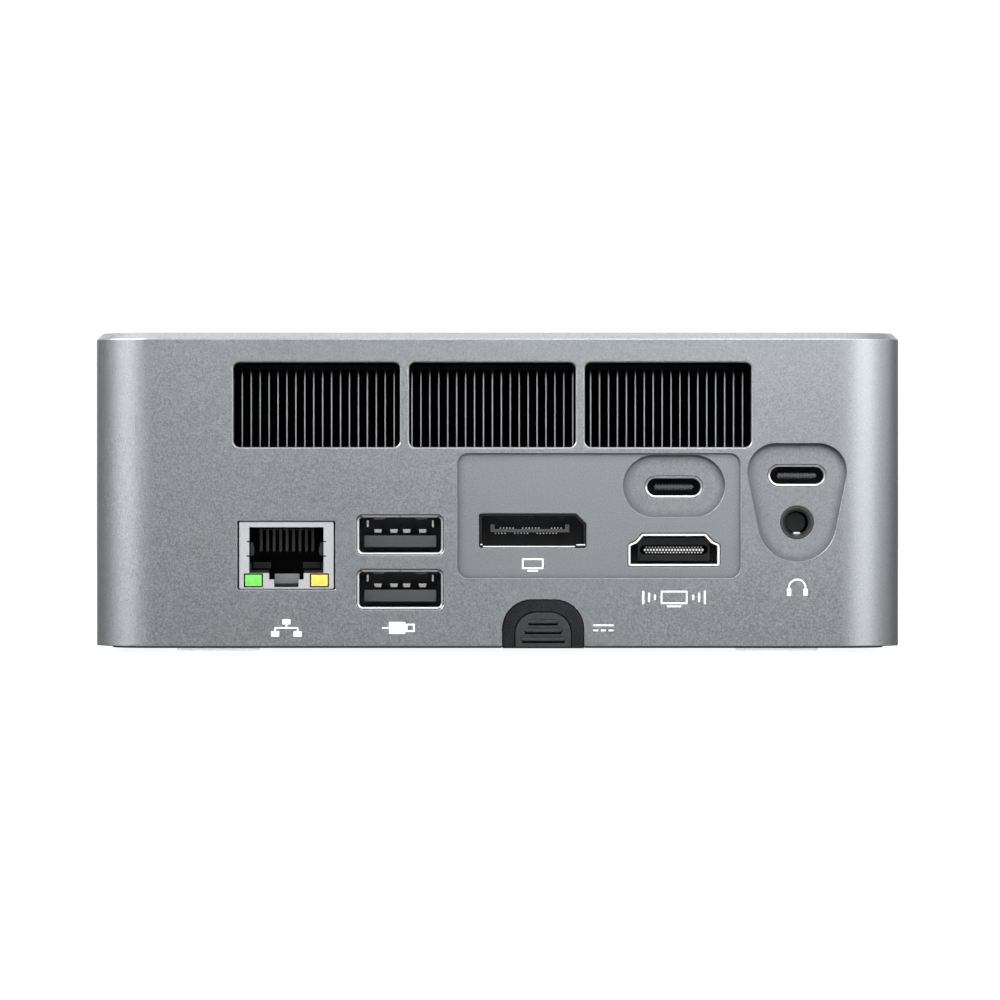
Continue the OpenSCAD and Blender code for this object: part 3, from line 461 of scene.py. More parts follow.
class Tree:
    """A material's node tree, with short calls for the nodes used here."""

    def __init__(self, name):
        self.material = bpy.data.materials.new(name)
        self.material.use_nodes = True
        self.nodes = self.material.node_tree.nodes
        self.link = self.material.node_tree.links.new
        self.nodes.clear()
        self.shader = self.nodes.new("ShaderNodeBsdfPrincipled")
        output = self.nodes.new("ShaderNodeOutputMaterial")
        self.link(self.shader.outputs["BSDF"], output.inputs["Surface"])
        self.spot = self.nodes.new("ShaderNodeTexCoord").outputs["Object"]

    def fit(self, value, socket):
        """Puts a constant on a socket, or links an output to it."""
        if isinstance(value, bpy.types.NodeSocket):
            self.link(value, socket)
        elif isinstance(value, tuple):
            socket.default_value = (*value, 1.0)[:len(socket.default_value)]
        else:
            socket.default_value = value

    def node(self, kind, **sockets):
        """A new node with its inputs fitted, by names that have _ for a space."""
        node = self.nodes.new(kind)
        for name, value in sockets.items():
            self.fit(value, node.inputs[name.replace("_", " ")])
        return node

    def noise(self, size_mm, detail=2.0, rough=0.5, vector=None):
        """Noise whose features are about that many millimetres across."""
        return self.node("ShaderNodeTexNoise", Scale=1000.0 / size_mm, Detail=detail, Roughness=rough,
                         Vector=vector or self.spot).outputs["Fac"]

    def wave(self, size_mm, direction, distortion=0.0):
        """Straight bands that many millimetres apart."""
        node = self.node("ShaderNodeTexWave", Scale=1000.0 / size_mm / WAVES_PER_UNIT, Distortion=distortion,
                         Vector=self.spot)
        node.wave_type = "BANDS"
        node.bands_direction = direction
        return node.outputs["Fac"]

    def openness(self, reach_mm):
        """How free the surface is of nearby walls: 1 in the open, less in a nook."""
        node = self.node("ShaderNodeAmbientOcclusion", Distance=reach_mm * 0.001)
        node.samples = 8
        node.only_local = True
        return node.outputs["AO"]

    def math(self, kind, first, second=0.0):
        node = self.nodes.new("ShaderNodeMath")
        node.operation = kind
        self.fit(first, node.inputs[0])
        self.fit(second, node.inputs[1])
        return node.outputs[0]

    def part(self, axis):
        """One coordinate of the object, in metres."""
        return self.node("ShaderNodeSeparateXYZ", Vector=self.spot).outputs[axis]

    def between(self, source, low, high, out_low=0.0, out_high=1.0):
        return self.node("ShaderNodeMapRange", Value=source, From_Min=low, From_Max=high, To_Min=out_low,
                         To_Max=out_high).outputs["Result"]

    def blend(self, factor, first, second):
        """Colour that goes from the first to the second with the factor."""
        node = self.nodes.new("ShaderNodeMix")
        node.data_type = "RGBA"
        self.fit(factor, node.inputs["Factor"])
        self.fit(first, node.inputs[6])
        self.fit(second, node.inputs[7])
        return node.outputs[2]

    def bump(self, height, depth_mm, before=None):
        node = self.node("ShaderNodeBump", Strength=1.0, Distance=depth_mm * 0.001, Height=height)
        if before:
            self.link(before, node.inputs["Normal"])
        return node.outputs["Normal"]

    def set(self, **sockets):
        """Fits the shader's sockets and returns the material."""
        for name, value in sockets.items():
            self.fit(value, self.shader.inputs[name.replace("_", " ")])
        return self.material


WAVES_PER_UNIT = 3.18       # bands that a wave texture of scale 1 draws in one unit
LID_Z = 0.04994             # in metres: only the flat top lies above it
FINS_LOW = box_mm("fin_stack")[0]
FIN_PITCH = 0.0014
FIN_CUT_MIDDLE = 0.000125
FIN_CUT_BRIGHT = 0.00008    # half of the painted highlight line in a fin's cut edge
FIN_CUT_DEEP = 0.0001
# heights in metres over which that painted highlight fades out, as painted shadow under the window's upper
# edge
FIN_LIT_TO = (0.0430, 0.0439)


def times(colour, factor):
    return tuple(min(1.0, c * factor) for c in colour)


def grained(name, colour, rough, metal=0.0, grain=0.3, height=0.01, mottle=0.08, swing=0.06, nook=0.0,
            **more):
    """Moulded, blasted or plated surface: fine grain in colour, gloss and height, and a slow drift. Given a
    reach, painted shade also darkens the colour in nooks.
    """
    tree = Tree(name)
    fine = tree.noise(grain, 3.0)
    slow = tree.noise(grain * 40, 2.0)
    tone = tree.math("ADD", tree.math("MULTIPLY", fine, 0.7), tree.math("MULTIPLY", slow, 0.3))
    colours = tree.blend(tree.between(tone, 0.35, 0.65), times(colour, 1 - mottle), times(colour, 1 + mottle))
    if nook:
        # painted shade: the colour darkens towards a fifth of itself where nearby walls close in
        colours = tree.blend(tree.between(tree.openness(nook), 0.5, 0.95), times(colour, 0.2), colours)
    gloss = tree.between(fine, 0.3, 0.7, rough - swing, rough + swing)
    return tree.set(Base_Color=colours, Roughness=gloss, Metallic=metal, Normal=tree.bump(fine, height),
                    **more)


def housing_finish():
    """Sand-blasted, silver-grey anodised aluminium. Painted shade darkens it near walls in recesses, and the
    flat top takes a darker, matt copy of it as painted shade under the strong lights above.
    """
    tree = Tree("blasted_aluminium")
    fine = tree.noise(0.16, 2.0, 0.6)
    specks = tree.noise(0.20, 1.0)
    slow = tree.noise(18.0, 2.0)
    tone = tree.math("ADD", tree.math("MULTIPLY", specks, 0.85), tree.math("MULTIPLY", slow, 0.15))
    reach = tree.between(tone, 0.3, 0.7)
    metal = tree.blend(reach, (0.515, 0.542, 0.574), (0.690, 0.718, 0.750))
    # painted shade: the metal darkens near walls, in the recesses and round the cut-outs
    walls = tree.blend(tree.between(tree.openness(1.5), 0.5, 0.98), (0.30, 0.315, 0.335), metal)
    lid = tree.math("GREATER_THAN", tree.part("Z"), LID_Z)
    # painted shade: the flat top is a darker, matt copy of the metal, toning down the lights above it
    matt = tree.blend(reach, (0.37, 0.39, 0.415), (0.46, 0.48, 0.505))
    gloss = tree.between(specks, 0.3, 0.7, 0.37, 0.49)
    gloss = tree.math("MAXIMUM", gloss, tree.math("MULTIPLY", lid, 0.85))
    return tree.set(Base_Color=tree.blend(lid, walls, matt), Roughness=gloss, Specular_IOR_Level=0.2,
                    Metallic=tree.between(lid, 0.0, 1.0, 1.0, 0.1),
                    Normal=tree.bump(specks, 0.005, tree.bump(fine, 0.004)))


def fins_finish():
    """Metal fins painted near-black as the shade between them, with a pale band in the middle of each cut
    front edge as its painted highlight, fading out at the top as painted shadow.
    """
    tree = Tree("stamped_fins")
    fine = tree.noise(0.4, 2.0)
    from_fin = tree.math("SUBTRACT", tree.part("X"), FINS_LOW[0] * 0.001 - FIN_PITCH)
    from_middle = tree.math("SUBTRACT", tree.math("MODULO", from_fin, FIN_PITCH), FIN_CUT_MIDDLE)
    in_cut = tree.math("LESS_THAN", tree.math("ABSOLUTE", from_middle), FIN_CUT_BRIGHT)
    in_front = tree.math("LESS_THAN", tree.part("Y"), FINS_LOW[1] * 0.001 + FIN_CUT_DEEP)
    # painted shadow: the highlight fades out towards the top
    lit = tree.between(tree.part("Z"), *FIN_LIT_TO, 1.0, 0.0)
    highlight_mask = tree.math("MULTIPLY", tree.math("MULTIPLY", in_cut, in_front), lit)
    cut_highlight = tree.blend(tree.between(tree.noise(1.6, 3.0), 0.3, 0.7), (0.50, 0.52, 0.54), (0.62, 0.64, 0.66))
    # painted shade: the fins' sides and the corners of their cuts are near-black, as the shade between the
    # fins
    dark = tree.blend(fine, (0.003, 0.003, 0.003), (0.008, 0.008, 0.009))
    colours = tree.blend(highlight_mask, dark, cut_highlight)
    gloss = tree.between(highlight_mask, 0.0, 1.0, 0.6, 0.4)
    return tree.set(Base_Color=colours, Roughness=gloss, Metallic=0.6, Normal=tree.bump(fine, 0.01))


def board_finish():
    """Green solder mask with fine copper tracks showing through it."""
    tree = Tree("solder_mask")
    tracks = tree.math("GREATER_THAN", tree.wave(1.3, "DIAGONAL", 9.0), 0.72)
    mask = tree.blend(tree.noise(0.5), (0.006, 0.045, 0.026), (0.012, 0.07, 0.042))
    colours = tree.blend(tracks, mask, (0.03, 0.13, 0.075))
    return tree.set(Base_Color=colours, Roughness=0.32, Coat_Weight=0.4, Normal=tree.bump(tracks, 0.03))


def mesh_finish():
    """Woven black nylon mesh."""
    tree = Tree("filter_mesh")
    weave = tree.math("MAXIMUM", tree.wave(0.6, "X"), tree.wave(0.6, "Y"))
    colours = tree.blend(tree.between(weave, 0.4, 0.9), (0.002, 0.002, 0.002), (0.05, 0.05, 0.054))
    return tree.set(Base_Color=colours, Roughness=0.55, Normal=tree.bump(weave, 0.08))


def brushed(name, colour, rough, scale=(0.05, 1, 1)):
    """Metal drawn or milled along the axis on which the scale is small."""
    tree = Tree(name)
    stretch = tree.node("ShaderNodeMapping", Scale=scale, Vector=tree.spot)
    lines = tree.noise(0.08, 2.0, 0.5, stretch.outputs[0])
    colours = tree.blend(tree.between(lines, 0.3, 0.7), times(colour, 0.86), times(colour, 1.1))
    gloss = tree.between(lines, 0.3, 0.7, rough - 0.06, rough + 0.08)
    return tree.set(Base_Color=colours, Roughness=gloss, Metallic=1.0, Normal=tree.bump(lines, 0.002))


def winding_finish():
    """Enamelled copper wire wound round a core."""
    tree = Tree("copper_winding")
    turns = tree.wave(0.5, "Z", 0.4)
    colours = tree.blend(turns, (0.16, 0.05, 0.02), (0.62, 0.28, 0.13))
    return tree.set(Base_Color=colours, Roughness=0.3, Metallic=0.9, Normal=tree.bump(turns, 0.12))


FINISHES = {
    "housing": housing_finish(),
    "base": grained("base_plastic", (0.03, 0.031, 0.034), 0.55, grain=0.35, height=0.03, mottle=0.12),
    "foot": grained("pale_silicone", (0.90, 0.90, 0.91), 0.6, grain=0.5, height=0.02, mottle=0.04,
                    Subsurface_Weight=0.8, Subsurface_Radius=(1.0, 1.0, 1.0), Subsurface_Scale=0.003),
    "dark_screw": brushed("black_zinc", (0.10, 0.10, 0.11), 0.35),
    "screw": brushed("nickel_plate", (0.62, 0.61, 0.60), 0.3),
    "insert": brushed("turned_brass", (0.72, 0.52, 0.24), 0.28),
    "filter": mesh_finish(),
    "fan_plastic": grained("fan_plastic", (0.022, 0.022, 0.025), 0.45, grain=0.5),
    "motor": winding_finish(),
    # black plastic made nearly lightless, with almost no sheen: painted shade for the dark band at the top of
    # the vents
    "duct_cover": grained("duct_cover", (0.002, 0.002, 0.0021), 0.8, grain=0.4, height=0.02,
                          Specular_IOR_Level=0.05),
    "circuit_board": board_finish(),
    "chip": grained("silicon", (0.06, 0.065, 0.075), 0.18, 0.7, grain=2.0, height=0.0, mottle=0.2),
    "steel_plate": brushed("stamped_steel", (0.5, 0.5, 0.52), 0.4),
    "copper": brushed("bare_copper", (0.74, 0.38, 0.24), 0.33, (1, 0.05, 1)),
    "fins": fins_finish(),
    "power_part": grained("ferrite", (0.07, 0.07, 0.075), 0.6, height=0.03, mottle=0.2),
    "socket_plastic": grained("socket_plastic", (0.011, 0.011, 0.012), 0.45, grain=0.25, height=0.006,
                              Specular_IOR_Level=0.3),
    "coin_steel": brushed("coin_steel", (0.66, 0.66, 0.68), 0.3),
    "socket_steel": grained("nickel_sheet", (0.80, 0.80, 0.82), 0.30, 0.85, grain=2.0, height=0.002,
                            mottle=0.03, swing=0.02),
    "dark_socket": grained("black_nickel", (0.010, 0.010, 0.011), 0.42, height=0.004, Specular_IOR_Level=0.3),
    "gold": brushed("gold_flash", (0.83, 0.62, 0.25), 0.25),
    "jack_plastic": grained("jack_plastic", (0.036, 0.038, 0.040), 0.45, height=0.006),
    "bezel_plastic": grained("bezel_plastic", (0.0085, 0.009, 0.0105), 0.5, grain=0.25, height=0.05,
                             mottle=0.6, swing=0.2, Specular_IOR_Level=0.35),
    # the cap's colour carries painted shade in its grooves and round its ribs
    "cap_plastic": grained("cap_plastic", (0.027, 0.029, 0.032), 0.48, grain=0.25, height=0.04, mottle=0.35,
                           swing=0.15, nook=0.4),
    "light_ring": grained("milky_diffuser", (0.75, 0.78, 0.80), 0.4, grain=0.6, height=0.004, mottle=0.03,
                          Subsurface_Weight=0.3, Emission_Color=(0.75, 0.88, 1.0), Emission_Strength=0.08),
    "plunger": grained("natural_plastic", (0.62, 0.61, 0.57), 0.45, grain=0.4, height=0.008),
    "lamp_green": grained("green_lens", (0.16, 0.60, 0.10), 0.25, grain=0.8, mottle=0.2,
                          Emission_Color=(0.12, 0.62, 0.08), Emission_Strength=0.12, Coat_Weight=0.3),
    "lamp_amber": grained("amber_lens", (0.74, 0.55, 0.10), 0.25, grain=0.8, mottle=0.16,
                          Emission_Color=(0.75, 0.55, 0.08), Emission_Strength=0.12, Coat_Weight=0.3),
}
TONGUE = grained("tongue_plastic", (0.055, 0.057, 0.06), 0.45, grain=0.25, height=0.006)
PLATE = grained("lan_plate", (0.50, 0.505, 0.525), 0.36, 0.35, grain=0.22, height=0.005, mottle=0.06)
PALE_METAL = grained("contact_metal", (0.58, 0.58, 0.59), 0.3, 0.5, height=0.0)
# nickel whitened and made less metallic than the plated sheet: painted highlight on bright rims, edge strips
# and springs
HIGHLIGHT_NICKEL = grained("nickel_painted_highlight", (0.86, 0.86, 0.87), 0.25, 0.25, grain=0.2, height=0.002, mottle=0.03)
COMB = grained("comb_plastic", (0.024, 0.025, 0.027), 0.4, grain=0.25, height=0.006)
CORE = grained("core_plastic", (0.010, 0.0105, 0.0115), 0.45, grain=0.25, height=0.006,
               Specular_IOR_Level=0.35)
MARK = grained("print_white", (0.86, 0.87, 0.88), 0.6, grain=0.2, height=0.003, mottle=0.05)
SPOT = grained("pin_tip", (0.85, 0.85, 0.85), 0.4, 0.3, grain=0.2, height=0.0, mottle=0.05)


# ---------------------------------------------------------------- cut-outs and recesses of the housing

LIP = 0.12                  # rounding of a cut-out's edge
VENT_LIP = 0.24
SOFT = 0.05
GAP = 0.1                   # room between a socket and its cut-out
WIDE_GAP = 0.15
MARK_DEEP = 0.05
STROKE = 0.28

DC_CUT = (12.86, 8.37, 4.65)      # width, top and corner radius of the power bay's notch
NOTCH = (DC_X - DC_CUT[0] / 2, DC_X + DC_CUT[0] / 2)
PANEL = Outline([(-6.3, 11.6), (37.95, 11.6), (37.95, 31.15), (-6.3, 31.15)], 1.7)
STADIUM = stadium(16, 9.8, (SHOULDER_X, 26.0))
PICK = pick_outline()
NOTCHED = Outline([(-8.3, -2.6), (8.3, -2.6), (8.3, 1.05), (6.75, 2.6), (-8.3, 2.6)], 0.25,
                  (NOTCHED_X, NOTCHED_Z))
SHOULDERED = Outline(mirrored([(7.13, -2.53), (7.13, 0.85), (6, 1.35), (4.97, 2.53)]), 0.35,
                     (SHOULDER_X, SHOULDER_Z))


def usb_cut(x, z):
    return rect(13.6, 6.3, 1.0, (x, z))


def oval(x, z):
    return stadium(9, 3.3, (x, z))


def jack_cut(x, z):
    return circle(2.65, (x, z))


# ---------------------------------------------------------------- printed marks, set flush in the rear face

def bars(x, z, rows):
    """Small rectangles from rows of place, width, height and corner radius, measured from a middle."""
    return [rect(wide, tall, radius, (x + dx, z + dz)) for dx, dz, wide, tall, radius in rows]


def frame_mark(x, z, width, height):
    """Four strokes round a rectangle, kept a hair apart so that each is its own shape."""
    w, h, s, gap = width / 2, height / 2, STROKE, 0.001
    return [
        span(x - w, z - h, x + w, z - h + s), span(x - w, z + h - s, x + w, z + h),
        span(x - w, z - h + s + gap, x - w + s, z + h - s - gap),
        span(x + w - s, z - h + s + gap, x + w, z + h - s - gap),
    ]


def arc_mark(x, z, radius):
    """Half ring, open below."""
    angles = [math.pi * k / 12 for k in range(13)]
    inside = radius - STROKE
    outer = [(x + radius * math.cos(a), z + radius * math.sin(a)) for a in angles]
    inner = [(x + inside * math.cos(a), z + inside * math.sin(a)) for a in angles]
    return Outline(outer + inner[::-1], 0.01, pieces=1)


def face_marks():
    """Plain pictograms on the face: network, plug, direct current, screen with sound, and headphones."""
    z, sound_z, ear_z = 3.9, 8.4, 10.1
    network = [(0, 0.95, 1.3, 0.85, 0.05), (-1.75, -0.95, 1.3, 0.85, 0.05), (1.75, -0.95, 1.3, 0.85, 0.05),
               (0, 0.33, STROKE, 0.34, 0.02), (0, 0, 3.78, STROKE, 0.02), (-1.75, -0.33, STROKE, 0.34, 0.02),
               (1.75, -0.33, STROKE, 0.34, 0.02)]
    plug = [(-0.45, 0, 2.6, 1.9, 0.2), (-2.3, 0, 1.0, STROKE, 0.02)]
    current = [(0, 0.4, 3.2, STROKE, 0.02), *[(dx, -0.4, 0.8, STROKE, 0.02) for dx in (-1.2, 0, 1.2)]]
    waves = ((3.0, 0.9), (3.9, 1.5), (4.8, 2.1))
    sound = [(s * dx, 0.25, 0.34, tall, 0.1) for s in (-1, 1) for dx, tall in waves]
    return [
        *bars(LAN_X, z, network),
        *bars(USB_X, z, plug), *frame_mark(USB_X + 1.6, z, 1.4, 1.3),
        *bars(DC_X + 9.4, z, current),
        *frame_mark(SHOULDER_X, sound_z + 0.25, 4.2, 2.1),
        *bars(SHOULDER_X, sound_z, [(0, -1.15, 2.2, STROKE, 0.02), *sound]),
        arc_mark(SIDE_X, ear_z + 0.05, 1.45),
        *bars(SIDE_X, ear_z, [(s * 1.28, -0.62, 0.72, 1.2, 0.2) for s in (-1, 1)]),
    ]


def panel_marks():
    """Screen on a stand, on the floor of the recessed panel."""
    z = 13.75
    return [*frame_mark(NOTCHED_X, z + 0.15, 3.4, 1.7), *bars(NOTCHED_X, z, [(0, -0.95, 1.7, STROKE, 0.02)])]


MARKS = face_marks()
PANEL_MARKS = panel_marks()


def build_marks():
    """Thin pads in the marks' beds, a hair smaller than the beds and a hair below the face."""
    pads = Piece("printed_marks")
    for wall, face, marks in ((SKIN, 0, MARKS), (REAR, PANEL_DEEP, PANEL_MARKS)):
        for mark in marks:
            pads.solid(wall, grown(mark, -0.004), face + 0.012, face + MARK_DEEP - 0.002, 0.01)
    pads.make("housing", material=MARK)


def beds(shell, wall, face, marks):
    """Sinks the marks' beds into a face and returns their loops."""
    for mark in marks:
        shell.sweep(wall, mark, [(0, face, -1, 0), (0, face + MARK_DEEP, -1, 0)])
        shell.fill(wall, mark.line(), (), face + MARK_DEEP)
    return [mark.line() for mark in marks]


# ---------------------------------------------------------------- housing

def rear_face(shell, low, high, right):
    """The rear face with its recesses and cut-outs. Returns the loops on the inner side."""
    bay = arch(DC_CUT[0], -5, *DC_CUT[1:], DC_X)
    through = [bay.line()]

    def cut(wall, outline, face, edge):
        near, far = shell.hole(wall, outline, face, REAR_WALL, edge)
        through.append(far)
        return near

    open_bay = arch(DC_CUT[0], low, *DC_CUT[1:], DC_X, closed=False)
    shell.sweep(REAR, open_bay, [(0, 0, -1, 0), (0, REAR_WALL, -1, 0)])
    skin = [cut(SKIN, rect(15.3, 10.7, 0.25, (LAN_X, LAN_Z)), 0, LIP)]
    skin += [cut(SKIN, usb_cut(USB_X, z), 0, LIP) for z in USB_ZS]
    skin += [cut(SKIN, rect(26, 13.2, 1.0, (x, VENT_Z)), 0, VENT_LIP) for x in VENT_XS]
    on_panel = [cut(REAR, grown(NOTCHED, GAP), PANEL_DEEP, SOFT),
                cut(REAR, grown(SHOULDERED, WIDE_GAP), PANEL_DEEP, SOFT)]
    in_stadium = [cut(REAR, grown(oval(SHOULDER_X, OVAL_Z), GAP), POCKET_DEEP, SOFT)]
    in_pick = [cut(REAR, grown(oval(SIDE_X, SIDE_OVAL_Z), GAP), POCKET_DEEP, SOFT),
               cut(REAR, jack_cut(SIDE_X, JACK_Z), POCKET_DEEP, SOFT)]
    on_panel.append(shell.pocket(REAR, STADIUM, PANEL_DEEP, POCKET_DEEP, 0.015, 0.06, in_stadium))
    on_panel += beds(shell, REAR, PANEL_DEEP, PANEL_MARKS)
    skin.append(shell.pocket(REAR, PANEL, 0, PANEL_DEEP, 0.03, 0.05, on_panel))
    skin.append(shell.pocket(SKIN, PICK, 0, POCKET_DEEP, 0.015, 0.06, in_pick))
    skin += beds(shell, SKIN, 0, MARKS)
    outer = [(-BEND_START, low), *[(x, low) for x in BEND_XS], (right, low), (right, high),
             *[(x, high) for x in reversed(BEND_XS)], (-BEND_START, high)]
    curved = [(x, z) for x in BEND_XS for z in np.arange(low + 0.7, high, 1.3)]
    shell.fill(SKIN, np.array(outer), [*skin, bay.line()], extra=curved)
    return through


def front_face(shell, low, high):
    """The front face with its cut-outs. Returns the loops on the inner side."""
    cuts = [(usb_cut(-x, FRONT_Z), LIP) for x in FRONT_USB_XS]
    cuts += [(grown(oval(-FRONT_OVAL_X, FRONT_Z), GAP), LIP), (jack_cut(-FRONT_JACK_X, FRONT_Z), LIP),
             (circle(6.35, (-BUTTON_X, FRONT_Z)), 0.2), (circle(0.7, (-RESET_X, FRONT_Z)), 0.1)]
    loops = [shell.hole(FRONT, outline, 0, FRONT_WALL, edge) for outline, edge in cuts]
    shell.fill(FRONT, box_loop(-BEND_START, low, BEND_START, high), [near for near, _ in loops])
    return [far for _, far in loops]


def side_runs(corner, skipped=0):
    """Indices of a plan's points along each side and its two corners, when a corner has that many points."""
    return np.arange(corner + skipped, 3 * corner), np.r_[3 * corner:4 * corner, 0:corner]


def build_housing():
    shell = Piece("housing")
    plan = rect(2 * HALF_X, FRONT_Y - REAR_Y, CORNER_R, pieces=ARC)
    path = [(-1.2, -RIM_Z), (-0.1, -RIM_Z), (0, -RIM_Z - 0.1), (0, 1 - TOP_Z), (-1, -TOP_Z), (-2, -TOP_Z)]
    steps = profile(path, [0, 0.04, 0.04, 0.35, 0.35, 0])
    upright = [i for i, step in enumerate(steps) if abs(step[2] - 1) < 1e-6]
    first, last = upright[0], upright[-1]
    low, high = -steps[first][1], -steps[last][1]
    rings = [plan.ring(step[0]) for step in steps]
    rows = [ABOVE.place(flat, step[1]) for (flat, _), step in zip(rings, steps)]
    slants = [ABOVE.normals(flat, side, s[2], s[3]) for (flat, side), s in zip(rings, steps)]
    corner = ARC + 1
    for run in side_runs(corner, BENT):
        sides = [(grid[first][run], grid[last][run]) for grid in (rows, slants)]
        shell.strip(*sides, closed=False)
    shell.strip(rows[last:], slants[last:])
    shell.fill(ABOVE, plan.line(steps[-1][0]), depth=-TOP_Z)
    rim = notched_rim(shell, rows[:first + 1], slants[:first + 1], corner)
    inner = Outline([(SIDE_WALL - HALF_X, REAR_Y + REAR_WALL), (HALF_X - SIDE_WALL, REAR_Y + REAR_WALL),
                     (HALF_X - SIDE_WALL, FRONT_Y - FRONT_WALL), (SIDE_WALL - HALF_X, FRONT_Y - FRONT_WALL)],
                    CORNER_R - SIDE_WALL, pieces=12)
    bay = span(NOTCH[0], REAR_Y - 1, NOTCH[1], REAR_Y + REAR_WALL + 1, 0).line()
    shell.fill(ABOVE, plan.line(steps[0][0]), [inner.line(), bay], -RIM_Z, facing=-1)
    for x, way, end in ((NOTCH[0], 1, -1), (NOTCH[1], -1, 0)):
        edge = [row[end] for row in rim]
        edge += [np.array((x, REAR_Y + REAR_WALL, low)), np.array((x, REAR_Y + REAR_WALL, RIM_Z))]
        heart = np.array((x, REAR_Y + REAR_WALL / 2, (low + RIM_Z) / 2))
        for a, b in zip(edge, edge[1:] + edge[:1]):
            shell.patches.append((np.array([[heart, a, b]]), np.tile((float(way), 0.0, 0.0), (1, 3, 1))))
    flat, sides = inner.ring()
    for run in side_runs(inner.pieces + 1):
        pair = [ABOVE.place(flat[run], -z) for z in (RIM_Z, CEILING_Z)]
        shell.strip(pair, [ABOVE.normals(flat[run], sides[run], -1, 0)] * 2, closed=False)
    shell.fill(ABOVE, inner.line(), depth=-CEILING_Z, facing=-1)
    inside_face = box_loop(-BEND_START, RIM_Z, BEND_START, CEILING_Z)
    right = float(rows[first][corner + BENT][0])
    shell.fill(REAR, inside_face, rear_face(shell, low, high, right), REAR_WALL, facing=-1)
    shell.fill(FRONT, inside_face, front_face(shell, low, high), FRONT_WALL, facing=-1)
    bore, bore_top = 1.5, 14.7
    for place in SCREW_PLACES:
        post = circle(4.2, place, 8)
        path = [(bore - 4.2, -bore_top), (bore - 4.2, -BASE_TOP), (0, -BASE_TOP), (0, -CEILING_Z)]
        shell.sweep(ABOVE, post, profile(path, 0.1))
        shell.fill(ABOVE, post.line(bore - 4.2), depth=-bore_top, facing=-1)
    return shell.make("housing", "housing_shell")


def notched_rim(shell, rows, slants, corner):
    """Rounded foot of the walls, from one side of the power bay's notch round to the other, as rows."""
    foot_rows = []
    foot_slants = []
    for row, slant in zip(rows, slants):
        right_end, left_end = row[corner].copy(), row[corner - 1].copy()
        left_end[0], right_end[0] = NOTCH
        foot_rows.append(np.vstack([right_end, row[corner:], row[:corner], left_end]))
        foot_slants.append(np.vstack([slant[corner], slant[corner:], slant[:corner], slant[corner - 1]]))
    shell.strip(foot_rows, foot_slants, closed=False)
    return foot_rows


# ---------------------------------------------------------------- base, feet and screws

def build_base():
    cover = Piece("base")
    thick = BASE_TOP - BASE_Z
    near, far, side, corner = 54.15, 53.75, 60.65, 7.65
    left, right, deep = DC_X - 6.40, DC_X + 6.40, 45.9
    plan = Outline([(-side, -near), (side, -near), (side, far), (right, far), (right, deep), (left, deep),
                    (left, far), (-side, far)], [corner, corner, corner, 0.3, 0.5, 0.5, 0.3, corner])
    cuts = []
    vent_r, vent_y, slot, pitch, rib = 32, 8, 2.2, 4.0, 1.1
    for row in range(-7, 8):
        y = row * pitch
        half = math.sqrt(vent_r ** 2 - (abs(y) + slot / 2) ** 2)
        for way in (-1, 1):
            shape = stadium(half - rib, slot, (way * (half + rib) / 2, -(vent_y + y)))
            cuts.append(cover.hole(BASE_FACE, shape, 0, thick, 0.25))
    dents = []
    for foot, screw, bracket in zip(FOOT_PLACES, SCREW_PLACES, BRACKET_PLACES):
        dents.append(cover.pocket(BASE_FACE, circle(6.55, foot), 0, 1.2, 0.2, 0.1))
        shank, shank_far = cover.hole(BASE_FACE, circle(1.6, screw), 1.4, thick, SOFT)
        head = cover.pocket(BASE_FACE, circle(3.0, screw), 0, 1.4, 0.2, 0.1, [shank])
        cuts.append((head, shank_far))
        cuts.append(cover.hole(BASE_FACE, circle(2.25, bracket), 0, thick, LIP))
    cover.body(BASE_FACE, plan, [(0, thick), (0, 0), (INWARD, 0)], 0.22,
               [near for near, _ in cuts] + dents, [far for _, far in cuts])
    cover.make("base", "base_cover")


def build_feet():
    """Round pads, each with a shallow groove near its edge."""
    feet = Piece("feet")
    path = [(0, 1.9), (0, 0), (-0.9, 0), (-1.0, 0.12), (-1.35, 0.12), (-1.45, 0), (INWARD, 0)]
    for place in FOOT_PLACES:
        feet.body(UNDER, circle(6.5, place, 14), path, [0, 0.3, 0.04, 0.03, 0.03, 0.04, 0])
    feet.make("foot", "rubber_feet")


def build_screws():
    """Cross-head screws that hold the base."""
    screws = Piece("cross_head_screws")
    arm, half = 1.5, 0.4
    quarter = [(half, -arm), (half, -half), (arm, -half), (arm, half), (half, half), (half, arm)]
    face, head, bottom = BASE_Z + 0.2, 1.2, 0.75
    for place in SCREW_PLACES:
        recess = Outline(mirrored(quarter), 0.08, place)
        near = screws.pocket(UNDER, recess, face, face + bottom, SOFT, SOFT)
        path = [(0, face + head), (0, face), (-0.9, face), (INWARD, face)]
        screws.body(UNDER, circle(2.8, place, 10), path, [0, 0.35, 0.2, 0], [near])
        screws.solid(UNDER, circle(1.45, place, 6), face + head, face + 10, 0.02)
    screws.make("dark_screw", "base_screws")


# ---------------------------------------------------------------- network socket

LAMP_X, LAMP_Z = 5.15, -3.9
CONTACT_PITCH = 1.016


def lamp_shape(side, width, height, radius):
    return rect(width, height, radius, (LAN_X + side * LAMP_X, LAN_Z + LAMP_Z))


